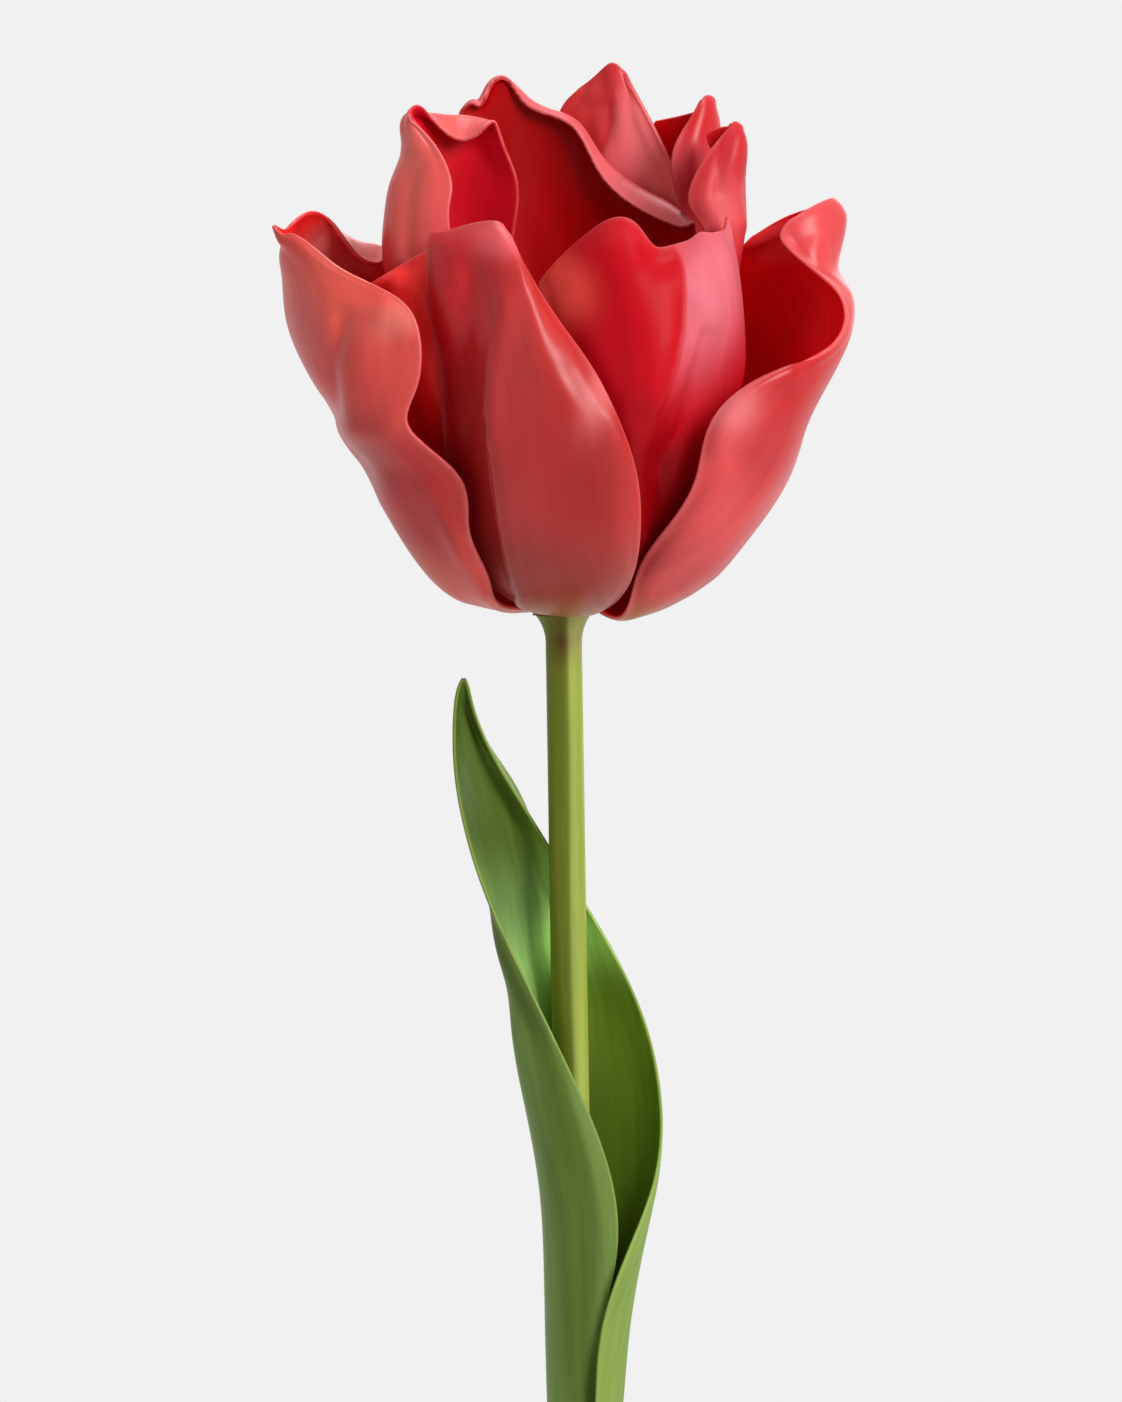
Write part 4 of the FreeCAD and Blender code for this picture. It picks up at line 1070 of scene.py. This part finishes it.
outline += [(stem_radius, height)
            for height in np.linspace(pin_length + pin_taper, collar_foot, shaft_points)]
for k in range(1, collar_points + 1):
    a = flare_turn * k / collar_points
    outline.append((stem_radius + bend * (1 - math.cos(a)), collar_foot + bend * math.sin(a)))
outline += [(collar_radius - collar_edge, collar_top), (tenon_radius, collar_top)]
outline += [(tenon_radius, tenon_top - tenon_chamfer)]
outline += [(tenon_radius - tenon_chamfer, tenon_top), (end_radius, tenon_top)]
turned("stem_turned", outline, stem_sides, stem_colour, stem_paint, ["stem"], "stem")

# Core: the turned wood that the petals are glued to, its grain upright
core_grain = (900, 900, 90)
core_wood, tree = new_material("core_wood")
grain = make_node(tree, "ShaderNodeTexCoord", output="Object").scaled(*core_grain).noise(3.0)
colour = grain.eased(0.3, 0.7).mixed(paint(96, 14, 12), paint(130, 26, 20))
fill(tree, tree.nodes["Principled BSDF"], {"Base Color": colour, "Roughness": 0.55})
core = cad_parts["bloom_core"]
core.data.materials.clear()
core.data.materials.append(core_wood)


# Floor, light and camera

pale = tuple(paint(241, 241, 241))
room_strength = 0.23
floor_glow = 0.6
floor_radius = 1.1
floor_drop = 0.0002


def pale_for_the_eye(tree):
    """One for a straight look, a reflection or a look through, and nought for the rest."""
    straight, mirrored, through = (
        make_node(tree, "ShaderNodeLightPath", output=ray)
        for ray in ("Is Camera Ray", "Is Glossy Ray", "Is Transmission Ray"))
    return straight.math("MAXIMUM", mirrored).math("MAXIMUM", through)


world = bpy.data.worlds.new("studio")
world.use_nodes = True
bpy.context.scene.world = world
tree = world.node_tree
tree.nodes.clear()
room = make_node(tree, "ShaderNodeBackground", (1.0, 1.0, 1.0), room_strength)
seen_room = make_node(tree, "ShaderNodeBackground", pale, 1.0)
mix = make_node(tree, "ShaderNodeMixShader", pale_for_the_eye(tree), room, seen_room)
make_node(tree, "ShaderNodeOutputWorld", mix)

floor_mesh = bpy.data.meshes.new("floor")
floor_mesh.from_pydata([(floor_radius * math.cos(a), floor_radius * math.sin(a), -floor_drop)
                        for a in np.linspace(0, 2 * math.pi, 64, endpoint=False)], [], [tuple(range(64))])
floor = add_object("floor", floor_mesh)
floor_paint, tree = new_material("floor_paint")
lit = tree.nodes["Principled BSDF"]
fill(tree, lit, {"Base Color": pale, "Roughness": 0.9, "Specular IOR Level": 0.0})
mix = make_node(tree, "ShaderNodeMixShader", pale_for_the_eye(tree) * floor_glow,
                Value(tree, lit.outputs["BSDF"]), make_node(tree, "ShaderNodeEmission", pale))
attach(tree, tree.nodes["Material Output"].inputs["Surface"], mix)
floor_mesh.materials.append(floor_paint)

# Each square lamp: its place, its width, its power and its colour. All face the lower bloom.
lamps = {
    "key": ((1.0, -1.05, 0.95), 0.8, 24.0, (1.0, 0.985, 0.97)),
    "fill": ((-0.9, -1.3, 0.45), 0.9, 1.2, (0.97, 0.98, 1.0)),
    "top": ((0.0, 0.12, 1.3), 0.6, 5.0, (1.0, 1.0, 1.0)),
    "back": ((0.4, 1.4, 0.7), 0.9, 5.0, (1.0, 1.0, 1.0)),
}
lamp_target = Vector((0, 0, 0.27))
for name, (place, width, power, colour) in lamps.items():
    data = bpy.data.lights.new(name, "AREA")
    data.shape = "RECTANGLE"
    data.size = data.size_y = width
    data.energy = power
    data.color = colour
    lamp = add_object(name, data)
    lamp.location = place
    lamp.rotation_euler = (lamp_target - Vector(place)).to_track_quat("-Z", "Y").to_euler()

# The camera stands level in front, turned a little about its line of sight
pixels_high = 1402
bloom_pixels = 577
view_roll = math.radians(0.9)
camera_distance = 3.0
film_width = 36.0
aim = Vector((-0.0006, 0, 0.2377))
camera_data = bpy.data.cameras.new("camera")
camera_data.sensor_width = film_width
camera_data.lens = film_width * camera_distance / (pixels_high * (bloom_width / bloom_pixels))
camera_data.clip_end = 20.0
camera = add_object("camera", camera_data)
right = Vector((math.cos(view_roll), 0, -math.sin(view_roll)))
above = Vector((math.sin(view_roll), 0, math.cos(view_roll)))
back = right.cross(above)
stand = Matrix((right, above, back)).transposed().to_4x4()
stand.translation = aim + back * camera_distance
camera.matrix_world = stand
bpy.context.scene.camera = camera
bpy.context.scene.view_settings.view_transform = "Standard"

bpy.context.view_layer.update()
